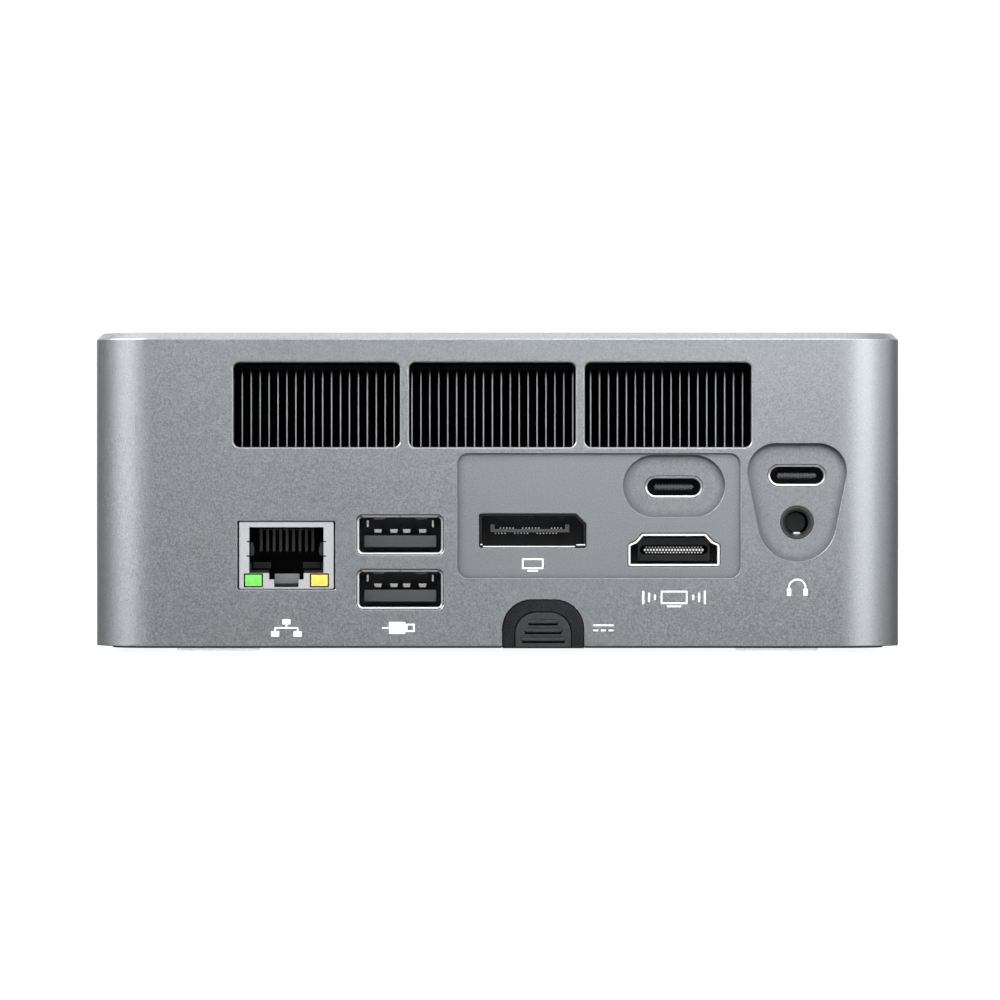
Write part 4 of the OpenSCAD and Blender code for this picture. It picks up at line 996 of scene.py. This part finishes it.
def build_lan_plate():
    """Stamped plate with its mouth and the lamps' windows, and the shield's sheets behind it."""
    x, z = LAN_X, LAN_Z
    plate = Piece("lan_plate")
    edge, notch = 5.8, 6.2
    right = [(1.9, -4.95), (1.9, -3.75), (2.7, -3.75), (2.7, -2.75), (edge, -2.75), (edge, -0.2),
             (notch, -0.2), (notch, 0.0), (edge, 0.0), (edge, 2.05), (notch, 2.05), (notch, 2.25),
             (edge, 2.25), (edge, 4.4)]
    outer = rect(14.8, 10.5, 0.25, (x, z))
    front, sheet, sheet_back, back = SOCKET_FRONT, 0.3, 0.6, 20.5
    steps = profile([(0, back), (0, front), (INWARD, front)], [0, 0.16, 0])[:-1]
    plate.sweep(REAR, outer, steps)
    shapes = [Outline(mirrored(right), 0.06, (x, z)), *[lamp_shape(s, 3.0, 2.2, 0.12) for s in (-1, 1)]]
    cuts = [plate.hole(REAR, shape, front, sheet_back, SOFT) for shape in shapes]
    plate.fill(REAR, outer.line(steps[-1][0]), [near for near, _ in cuts], front)
    plate.fill(REAR, outer.line(-sheet), [far for _, far in cuts], sheet_back, facing=-1)
    plate.sweep(REAR, outer, [(-sheet, sheet_back, -1, 0), (-sheet, back, -1, 0)])
    plate.fill(REAR, outer.line(0), [outer.line(-sheet)], back, facing=-1)
    low_z, high_z = z + 5.2, box_mm("lan_shield")[1][2]
    wall_in, far = REAR_Y + REAR_WALL, REAR_Y + back
    plate.block((x - 7.1, wall_in, low_z), (x + 7.1, wall_in + sheet, high_z))
    for s in (-1, 1):
        plate.block((x + s * 7.25 - 0.15, wall_in, low_z), (x + s * 7.25 + 0.15, far, high_z))
    plate.make("socket_steel", "lan_shield", material=PLATE)


def build_lan_insert():
    """Black insert with the plug's room and two ledges."""
    x, z = LAN_X, LAN_Z
    insert = Piece("lan_insert_body")
    right = [(2.0, -4.7), (2.0, -3.75), (2.75, -3.75), (2.75, -2.3), (5.5, -2.3), (5.5, -1.05),
             (5.75, -1.05), (5.75, 4.3)]
    rooms = [(Outline(mirrored(right), SOFT, (x, z)), 14.0)]
    rooms += [(lamp_shape(s, 2.7, 1.9, SOFT), 5.0) for s in (-1, 1)]
    front, back = 0.66, 17.0
    loops = []
    for shape, floor in rooms:
        near, far = insert.hole(REAR, shape, front, floor, 0.06)
        insert.fill(REAR, far, (), floor)
        loops.append(near)
    insert.body(REAR, rect(14.1, 9.85, 0.2, (x, z)), [(0, back), (0, front), (INWARD, front)], 0.1, loops)
    for s in (-1, 1):
        inner, outer = sorted((s * 2.5, s * 5.3))
        insert.solid(REAR, span(x + inner, z - 2.1, x + outer, z - 1.05), 3.2, 13.9, 0.1)
    insert.solid(REAR, span(x - 2.0, z - 4.72, x + 2.0, z - 4.5, 0.03), 0.7, 6.0, SOFT)
    insert.make("socket_plastic", "lan_insert")


def build_lan_inside():
    """Comb between the contacts, the sprung contacts, the latch slot's back and the two lamps."""
    x, z = LAN_X, LAN_Z
    comb = Piece("lan_comb")
    for i in range(9):
        cx = x + (i - 4) * CONTACT_PITCH
        finger = [(cx - 0.26, z + 0.5), (cx + 0.26, z + 0.5), (cx + 0.26, z + 4.25), (cx - 0.26, z + 4.25)]
        comb.solid(REAR, Outline(finger, [0.25, 0.25, 0.02, 0.02]), 3.9, 13.9, 0.16)
    flap = [(5.7, 2.0), (5.25, 2.0), (5.05, 0.6), (5.2, 0.0), (5.7, -0.1)]
    for s in (-1, 1):
        comb.solid(REAR, Outline([(s * px, pz) for px, pz in flap], SOFT, (x, z)), 1.4, 4.0, 0.08)
    comb.make("socket_plastic", material=COMB)
    contacts = Piece("lan_wires")
    half, thick = 0.14, 0.16
    path = [(5.2, 4.1), (6.4, 4.1), (11.6, 1.0), (12.1, 1.0)]
    strip = Outline([(d, h - thick) for d, h in path] + path[::-1], 0.02, pieces=2)
    for i in range(8):
        side = Wall((x + (i - 3.5) * CONTACT_PITCH, REAR_Y, z), (0, 1, 0), (0, 0, 1))
        contacts.solid(side, strip, -half, half, 0.03)
    contacts.make("gold", "lan_contacts")
    slot_back = Piece("lan_slot_plate")
    slot_back.solid(REAR, span(x - 1.95, z - 4.45, x + 1.95, z - 2.9), 5.0, 5.3, SOFT)
    slot_back.make("socket_steel", material=PLATE)
    for colour, s in (("green", -1), ("amber", 1)):
        lamp = Piece(f"lan_lamp_{colour}")
        lamp.solid(REAR, lamp_shape(s, 2.6, 1.8, 0.1), 0.3, 5.0, 0.12)
        lamp.make(f"lamp_{colour}", f"lan_led_{colour}")


# ---------------------------------------------------------------- data and video sockets

def usb_socket(shell, tongue, contacts, wall, x, z, depth, side):
    """One folded sheet tube with its tongue, contacts and springs. side is +1 where the tongue is high."""
    front = SOCKET_FRONT
    back = front + depth
    shell.sweep(wall, rect(13.4, 6.1, 0.9, (x, z)), flared(front, back, 0.3))
    for dx in (-3.3, 3.3):
        spring = taper(1.0, -side * 2.72, 0.7, -side * 2.40, SOFT, (x + dx, z))
        tongue.solid(wall, spring, front + 1.0, front + 6.0, 0.06)
    for dx in (-5.1, 5.1):
        contacts.solid(wall, stadium(0.3, 1.1, (x + dx, z - side * 1.75)), front + 1.6, front + 8.6, 0.1)
    for dx in (-6.15, 6.15):
        gap = rect(0.7, 0.26, 0.1, (x + dx, z - side * 2.84))
        tongue.solid(wall, gap, front - 0.004, front + 0.3, 0.02)
    seam = rect(0.1, 0.26, 0.02, (x, z - side * 2.9))
    tongue.solid(wall, seam, front - 0.004, front + 0.2, 0.01)
    tongue.solid(wall, rect(11.3, 1.86, 0.22, (x, z + side)), front + 1.5, back, 0.16)
    tongue.solid(wall, rect(12.7, 5.4, 0.6, (x, z)), front + 8.5, back, 0.02)
    for dx in (-3.5, -1.0, 1.0, 3.5):
        pad = taper(0.64, -side * 0.92, 0.5, -side * 0.28, 0.04, (x + dx, z))
        contacts.solid(wall, pad, front + 2.3, front + 8.6, 0.14)


def build_usb():
    tongue = Piece("usb_tongues")
    contacts = Piece("usb_contacts")
    for name, z in zip(("upper", "lower"), USB_ZS):
        shell = Piece(f"usb_{name}_tube")
        usb_socket(shell, tongue, contacts, REAR, USB_X, z, 12.6, -1)
        shell.make("socket_steel", f"usb_{name}_shell")
    low, high = box_mm("usb_insulator")
    tongue.block((low[0], REAR_Y + 12.8, low[2]), (high[0], REAR_Y + 16.8, high[2]))
    tongue.make("socket_plastic", "usb_insulator", material=TONGUE)
    contacts.make("socket_steel", material=PALE_METAL)


def foot_block(piece, node, depth):
    """Block of the node's own width and height, from a depth to the node's far side."""
    low, high = box_mm(node)
    piece.block((low[0], REAR_Y + depth, low[2]), high)


def build_notched():
    """Video socket with one cut corner: dark tube, U-shaped tongue and two rows of pin tips."""
    x, z = NOTCHED_X, NOTCHED_Z
    front = PANEL_DEEP + 0.1
    shell = Piece("notched_tube")
    shell.tube(REAR, NOTCHED, front, 10.5, 0.35, 0.1)
    for dx in (-5.2, -0.3, 4.4):
        shell.solid(REAR, span(x + dx - 0.5, z + 1.9, x + dx + 0.5, z + 2.24), front + 0.5, 4.0, SOFT)
    shell.make("dark_socket", "notched_port_shell")
    # strips of whitened nickel along the lower inner edges of the dark tube: painted highlight where those
    # edges catch the light
    bottom_highlight = Piece("notched_painted_highlight")
    for x0, x1, z0, z1 in ((-7.75, 6.6, -2.58, -2.38), (-8.2, -7.85, -2.25, -2.05), (6.8, 8.2, -2.3, -2.1)):
        bottom_highlight.solid(REAR, span(x + x0, z + z0, x + x1, z + z1), front - 0.03, front + 0.3, SOFT)
    bottom_highlight.make("socket_steel", material=HIGHLIGHT_NICKEL)
    tongue = Piece("notched_tongue")
    right = [(6.2, -0.275), (6.2, 1.03), (5.5, 1.03), (5.5, 0.275)]
    tongue.solid(REAR, Outline(mirrored(right), 0.08, (x - 0.45, z)), 2.0, 6.0, 0.1)
    foot_block(tongue, "notched_port_insulator", 10.5)
    tongue.make("socket_plastic", "notched_port_insulator", material=TONGUE)
    core = Piece("notched_core")
    core.solid(REAR, grown(NOTCHED, -0.38), 5.5, 11.5, 0.02)
    core.make("socket_plastic", material=COMB)
    pins = Piece("notched_pins")
    upper = (*range(0, 5), *range(7, 13), *range(16, 20))
    lower = (*range(0, 4), *range(6, 11), *range(13, 20))
    for first, height, filled in ((-5.05, 0.40, upper), (-5.8, -0.40, lower)):
        for i in filled:
            pins.solid(REAR, rect(0.18, 0.2, 0.04, (x + first + i * 0.5, z + height)), 2.5, 5.6, 0.04)
    pins.make("socket_steel", material=SPOT)


def build_shouldered():
    """Video socket with two shoulders: tube whitened as painted highlight, dark core and three rows of pin
    tips.
    """
    x, z = SHOULDER_X, SHOULDER_Z
    front = PANEL_DEEP + 0.05
    shell = Piece("shouldered_tube")
    shell.tube(REAR, SHOULDERED, front, 11.0, 0.33, 0.1)
    shell.make("socket_steel", "shoulder_port_shell", material=HIGHLIGHT_NICKEL)
    core = Piece("shouldered_core")
    core.solid(REAR, rect(11.2, 3.6, 0.3, (x, z + 0.1)), 2.4, 5.6, 0.12, cuts=[stadium(10.7, 1.5, (x, z))])
    core.solid(REAR, grown(SHOULDERED, -0.38), 5.5, 12.0, 0.02)
    for dx in (-2.2, 2.2):
        core.solid(REAR, span(x + dx - 0.3, z + 1.95, x + dx + 0.3, z + 2.17, 0.08), front + 0.4, 4.0, SOFT)
    foot_block(core, "shoulder_port_insulator", 11.0)
    core.make("socket_plastic", "shoulder_port_insulator", material=CORE)
    pins = Piece("shouldered_pins")
    pitch = 0.474
    rows = ((0.0, 20, 0.27, 0.34), (0.42, 19, 0.14, 0.16), (-0.42, 19, 0.18, 0.2))
    for height, count, wide, tall in rows:
        for i in range(count):
            px = x + (i - (count - 1) / 2) * pitch
            pins.solid(REAR, rect(wide, tall, SOFT, (px, z + height)), 2.6, 5.6, SOFT)
    pins.make("socket_steel", material=SPOT)


def oval_socket(name, wall, x, z, front):
    """Seamless oval tube with a thin tongue and its rows of contacts."""
    back = front + 8.0
    shell = Piece(f"{name}_tube")
    shell.sweep(wall, oval(x, z), flared(front, back, 0.3))
    shell.make("socket_steel", f"{name}_shell")
    tongue = Piece(f"{name}_tongue")
    tongue.solid(wall, rect(6.1, 0.52, 0.15, (x, z)), front + 0.9, front + 7.0, 0.12)
    tongue.solid(wall, rect(5.7, 1.1, 0.2, (x, z)), front + 4.2, front + 7.0, 0.09)
    low, high = box_mm(f"{name}_insulator")
    if name == "side_oval":
        tongue.block((x - 3.4, REAR_Y + back, 24.2), (x + 3.4, high[1], z + 1.65))
    elif name == "front_oval":
        tongue.block((-x - 3.4, low[1], z + 1.65), (-x + 3.4, low[1] + 5.2, high[2]), FRONT)
    tongue.make("socket_plastic", f"{name}_insulator", material=TONGUE)
    core = Piece(f"{name}_core")
    core.solid(wall, stadium(8.3, 2.6, (x, z)), front + 5.6, back, 0.02)
    core.make("socket_plastic")
    pins = Piece(f"{name}_contacts")
    for dz in (-0.31, 0.31):
        for i in range(12):
            pin = rect(0.26, 0.06, 0.02, (x - 2.75 + i * 0.5, z + dz))
            pins.solid(wall, pin, front + 1.5, front + 4.2, 0.02)
    pins.make("socket_steel", material=PALE_METAL)


def jack(name, node, wall, x, z, front, body_front, up):
    """Round headset socket: collar, countersunk bore and a spring contact."""
    body = Piece(name)
    length = 11.4
    collar = circle(2.6, (x, z), 14)
    path = [(0, front + 3.0), (0, front), (-0.38, front), (-0.8, front + 1.2), (-0.8, front + length)]
    body.sweep(wall, collar, profile(path, [0, 0.1, 0.06, 0.06, 0]))
    body.fill(wall, collar.line(-0.8), (), front + length)
    body.solid(wall, span(x - 3.3, z - 2.9, x + 3.3, z + up, 0.2), body_front, 12.8, SOFT,
               cuts=[circle(1.8, (x, z), 14)])
    body.make("jack_plastic", node)
    spring = Piece(f"{name}_springs")
    spring.solid(wall, stadium(1.1, 0.42, (x, z - 1.7)), front + 1.0, front + 2.4, 0.12)
    # the spring is whitened nickel: painted highlight
    spring.make("socket_steel", material=HIGHLIGHT_NICKEL)
    core = Piece(f"{name}_core")
    core.solid(wall, circle(1.6, (x - 0.15, z), 10), front + 3.0, front + 4.5, 0.1)
    core.make("jack_plastic", material=COMB)


# ---------------------------------------------------------------- power bay

def build_power_bay():
    """Arched bezel, and the ribbed cap that pulls out of it."""
    front, floor, back = SOCKET_FRONT, 8.9, 10.5
    wide, top, radius, edge = 8.95, 6.41, 3.4, 0.14
    bezel = Piece("dc_bezel_arch")
    bezel.hole(REAR, arch(wide, BASE_Z, top, radius, DC_X, closed=False), front, floor, edge)
    mouth = arch(wide, BASE_Z - 1, top, radius, DC_X).line(edge)
    path = [(0, back), (0, front), (INWARD, front)]
    bezel.body(REAR, arch(12.76, BASE_Z, 8.32, 4.6, DC_X), path, 0.22, [mouth])
    bezel.fill(REAR, arch(wide, BASE_Z, top, radius, DC_X).line(), (), floor)
    bezel.make("bezel_plastic", "dc_bezel")
    cap = Piece("dc_cap_ribbed")
    face, rib_high, groove_deep = 0.3, 0.25, 1.0
    loops = []
    for wide, z in ((4.6, 4.67), (5.7, 3.3), (6.7, 1.91)):
        path = [(0.08, face), (0, face - rib_high), (INWARD, face - rib_high)]
        rib = stadium(wide, 0.42, (DC_X, z + 0.19))
        steps = profile(path, 0.2)[:-1]
        cap.sweep(REAR, rib, steps)
        cap.fill(REAR, rib.line(steps[-1][0]), (), face - rib_high)
        cap.fill(REAR, rib.line(0.08), (), face, facing=-1)
        groove = stadium(wide, 0.32, (DC_X, z - 0.24))
        loops.append(cap.pocket(REAR, groove, face, face + groove_deep, 0.04, 0.02))
    path = [(0, 4.9), (0, face), (INWARD, face)]
    cap.body(REAR, arch(8.75, 0.8, 6.31, 3.3, DC_X), path, 0.16, loops)
    cap.make("cap_plastic", "dc_cap", body="dc_cap")


# ---------------------------------------------------------------- front

def build_front_usb():
    shell = Piece("front_usb_tubes")
    tongue = Piece("front_usb_tongues")
    contacts = Piece("front_usb_contacts")
    low, high = box_mm("front_usb_insulators")
    for x in FRONT_USB_XS:
        usb_socket(shell, tongue, contacts, FRONT, -x, FRONT_Z, 12.2, 1)
        tongue.block((x - 6.7, low[1], FRONT_Z - 3.05), (x + 6.7, low[1] + 1.9, high[2]), FRONT)
    shell.make("socket_steel", "front_usb_shells")
    tongue.make("socket_plastic", "front_usb_insulators", material=TONGUE)
    contacts.make("socket_steel", material=PALE_METAL)


def build_button():
    """Round button with a shallow dish, in its light ring."""
    at = (-BUTTON_X, FRONT_Z)
    back = FRONT_Y - box_mm("power_button")[0][1]
    face, dish = 0.3, 0.62
    button = Piece("button_cap")
    path = [(0, back), (0, face), (-0.5, face), (-3.4, dish), (INWARD, dish)]
    button.body(FRONT, circle(5.4, at, 16), path, [0, 0.2, 0.25, 0.8, 0])
    button.solid(FRONT, circle(6.4, at, 12), back - 1.0, back, SOFT)
    button.make("housing", "power_button", body="power_button")
    ring = Piece("button_ring")
    ring.tube(FRONT, circle(6.3, at, 16), 0.1, 3.0, 0.75, 0.12)
    ring.make("light_ring", "power_light_ring")


def finish_cad_nodes():
    """Gives each CAD node that still shows the finish of its slot, and soft edges."""
    slots = {row["node"]: row["material_slot"] for row in frame["record"]["subparts"]}
    for name, node in frame["nodes"].items():
        if node.hide_render:
            continue
        node.data.materials.clear()
        node.data.materials.append(FINISHES[slots[name]])
        if name != "fin_stack":
            soft = node.modifiers.new("soft_edges", "BEVEL")
            soft.width = 0.00012
            soft.segments = 2
            soft.limit_method = "ANGLE"
            soft.angle_limit = math.radians(40)
            soft.use_clamp_overlap = True


# ---------------------------------------------------------------- stage, light and camera

LENS_MM = 288.375
SENSOR_MM = 36.0
CAMERA_FAR = 1.25
CAMERA_X = 0.00039
CAMERA_Z = 0.02385
HEART = Vector((0, 0, 0.025))
STAGE_REACH = 2.6
DOME_LIFT = 0.02
DOME_RINGS, DOME_PARTS = 24, 48
HORIZON = ((0.0, 0.22), (0.25, 0.10), (0.45, 0.055), (0.85, 0.34), (1.0, 0.34))
# name, azimuth from the camera's side, elevation, distance, width, height, brightness in a mirror
LIGHTS = (
    ("key_near", 15, 34, 0.35, 0.122, 0.21, 3.3),
    ("fill_near", -15, 24, 0.35, 0.21, 0.21, 0.34),
    ("left_high", -66, 34, 1.5, 1.1, 0.9, 8.7),
    ("left_low", -58, 15, 1.5, 0.6, 0.7, 0.3),
    ("right_wide", 50, 18, 1.5, 0.9, 0.9, 1.9),
    ("right_near", 50, 18, 0.35, 0.315, 0.18, 0.55),
    ("right_side", 80, 20, 0.35, 0.315, 0.2, 0.65),
    ("top", 180, 80, 1.5, 1.5, 1.5, 0.65),
    ("back_high", 180, 36, 1.5, 1.2, 0.8, 1.6),
    ("front_near", 180, 19, 0.23, 0.12, 0.16, 2.4),
    ("back_left", -160, 20, 1.5, 0.5, 0.9, 0.5),
    ("back_right", 160, 20, 1.5, 0.5, 0.9, 0.5),
)


def stage_mesh(name, points, faces, glow, colour):
    """Floor or backdrop in a pale matt material that also glows a little, so that it stays near white."""
    tree = Tree(f"pale_{name}")
    colours = tree.blend(tree.noise(900.0, 1.0), times(colour, 0.99), colour)
    mesh = bpy.data.meshes.new(name)
    mesh.from_pydata(points, [], faces)
    mesh.materials.append(tree.set(Base_Color=colours, Roughness=0.9, Specular_IOR_Level=0.0,
                                   Emission_Color=(1.0, 1.0, 1.0), Emission_Strength=glow))
    thing = bpy.data.objects.new(name, mesh)
    bpy.context.scene.collection.objects.link(thing)
    thing.visible_glossy = False
    return thing


def build_stage():
    """Floor, and a dome round it that only the camera sees."""
    far = STAGE_REACH
    corners = [(-far, -far, 0), (far, -far, 0), (far, far, 0), (-far, far, 0)]
    stage_mesh("floor", corners, [(0, 1, 2, 3)], 0.93, (0.62, 0.62, 0.62))
    points = []
    for i in range(DOME_RINGS + 1):
        up = math.pi * (i / DOME_RINGS - 0.5)
        for k in range(DOME_PARTS):
            turn = 2 * math.pi * k / DOME_PARTS
            points.append((far * math.cos(up) * math.cos(turn), far * math.cos(up) * math.sin(turn),
                           far * math.sin(up) + DOME_LIFT))
    faces = []
    for i in range(DOME_RINGS):
        for k in range(DOME_PARTS):
            a, b = i * DOME_PARTS + k, i * DOME_PARTS + (k + 1) % DOME_PARTS
            faces.append((a, a + DOME_PARTS, b + DOME_PARTS, b))
    dome = stage_mesh("backdrop", points, faces, 1.05, (0.0, 0.0, 0.0))
    dome.visible_diffuse = False
    dome.visible_transmission = False
    dome.visible_shadow = False
    dome.visible_volume_scatter = False


def build_world():
    """Soft surroundings: light above, dark round the horizon, and a little light from below."""
    world = bpy.data.worlds.new("studio")
    world.use_nodes = True
    bpy.context.scene.world = world
    nodes = world.node_tree.nodes
    link = world.node_tree.links.new
    split = nodes.new("ShaderNodeSeparateXYZ")
    link(nodes.new("ShaderNodeTexCoord").outputs["Generated"], split.inputs[0])
    shift = nodes.new("ShaderNodeMapRange")
    shift.inputs["From Min"].default_value = -1.0
    link(split.outputs["Z"], shift.inputs["Value"])
    ramp = nodes.new("ShaderNodeValToRGB")
    link(shift.outputs["Result"], ramp.inputs["Fac"])
    stops = ramp.color_ramp.elements
    for _ in HORIZON[2:]:
        stops.new(0.5)
    for stop, (position, value) in zip(stops, HORIZON):
        stop.position = position
        stop.color = (value, value, value, 1)
    link(ramp.outputs["Color"], nodes["Background"].inputs["Color"])
    nodes["Background"].inputs["Strength"].default_value = 1.0


def build_light(name, azimuth, elevation, distance, width, height, radiance):
    """Soft rectangular light aimed at the object, that the camera doesn't see."""
    turn, up = math.radians(azimuth), math.radians(elevation)
    flat = distance * math.cos(up)
    place = Vector((flat * math.sin(turn), -flat * math.cos(turn), distance * math.sin(up)))
    data = bpy.data.lights.new(name, "AREA")
    data.shape = "RECTANGLE"
    data.size, data.size_y = width, height
    data.energy = radiance * width * height * math.pi
    lamp = bpy.data.objects.new(name, data)
    lamp.location = place
    lamp.rotation_mode = "QUATERNION"
    lamp.rotation_quaternion = (HEART - place).to_track_quat("-Z", "Y")
    lamp.visible_camera = False
    bpy.context.scene.collection.objects.link(lamp)


def build_camera():
    """Level camera, square to the rear face."""
    data = bpy.data.cameras.new("camera")
    data.sensor_width = SENSOR_MM
    data.lens = LENS_MM
    data.clip_start = 0.01
    data.clip_end = 20.0
    camera = bpy.data.objects.new("camera", data)
    camera.location = (CAMERA_X, REAR_Y * 0.001 - CAMERA_FAR, CAMERA_Z)
    camera.rotation_euler = (math.radians(90), 0, 0)
    bpy.context.scene.collection.objects.link(camera)
    bpy.context.scene.camera = camera


build_housing()
build_marks()
build_base()
build_feet()
build_screws()
build_lan_plate()
build_lan_insert()
build_lan_inside()
build_usb()
build_notched()
build_shouldered()
oval_socket("rear_oval", REAR, SHOULDER_X, OVAL_Z, 1.5)
oval_socket("side_oval", REAR, SIDE_X, SIDE_OVAL_Z, 1.5)
jack("rear_jack", "headset_jack", REAR, SIDE_X, JACK_Z, 1.4, 3.05, 2.16)
build_power_bay()
build_front_usb()
oval_socket("front_oval", FRONT, -FRONT_OVAL_X, FRONT_Z, SOCKET_FRONT)
jack("front_jack", "front_headset_jack", FRONT, -FRONT_JACK_X, FRONT_Z, 0.1, 2.6, 3.1)
build_button()
finish_cad_nodes()
build_stage()
build_world()
for light in LIGHTS:
    build_light(*light)
build_camera()
bpy.context.scene.view_settings.view_transform = "Standard"
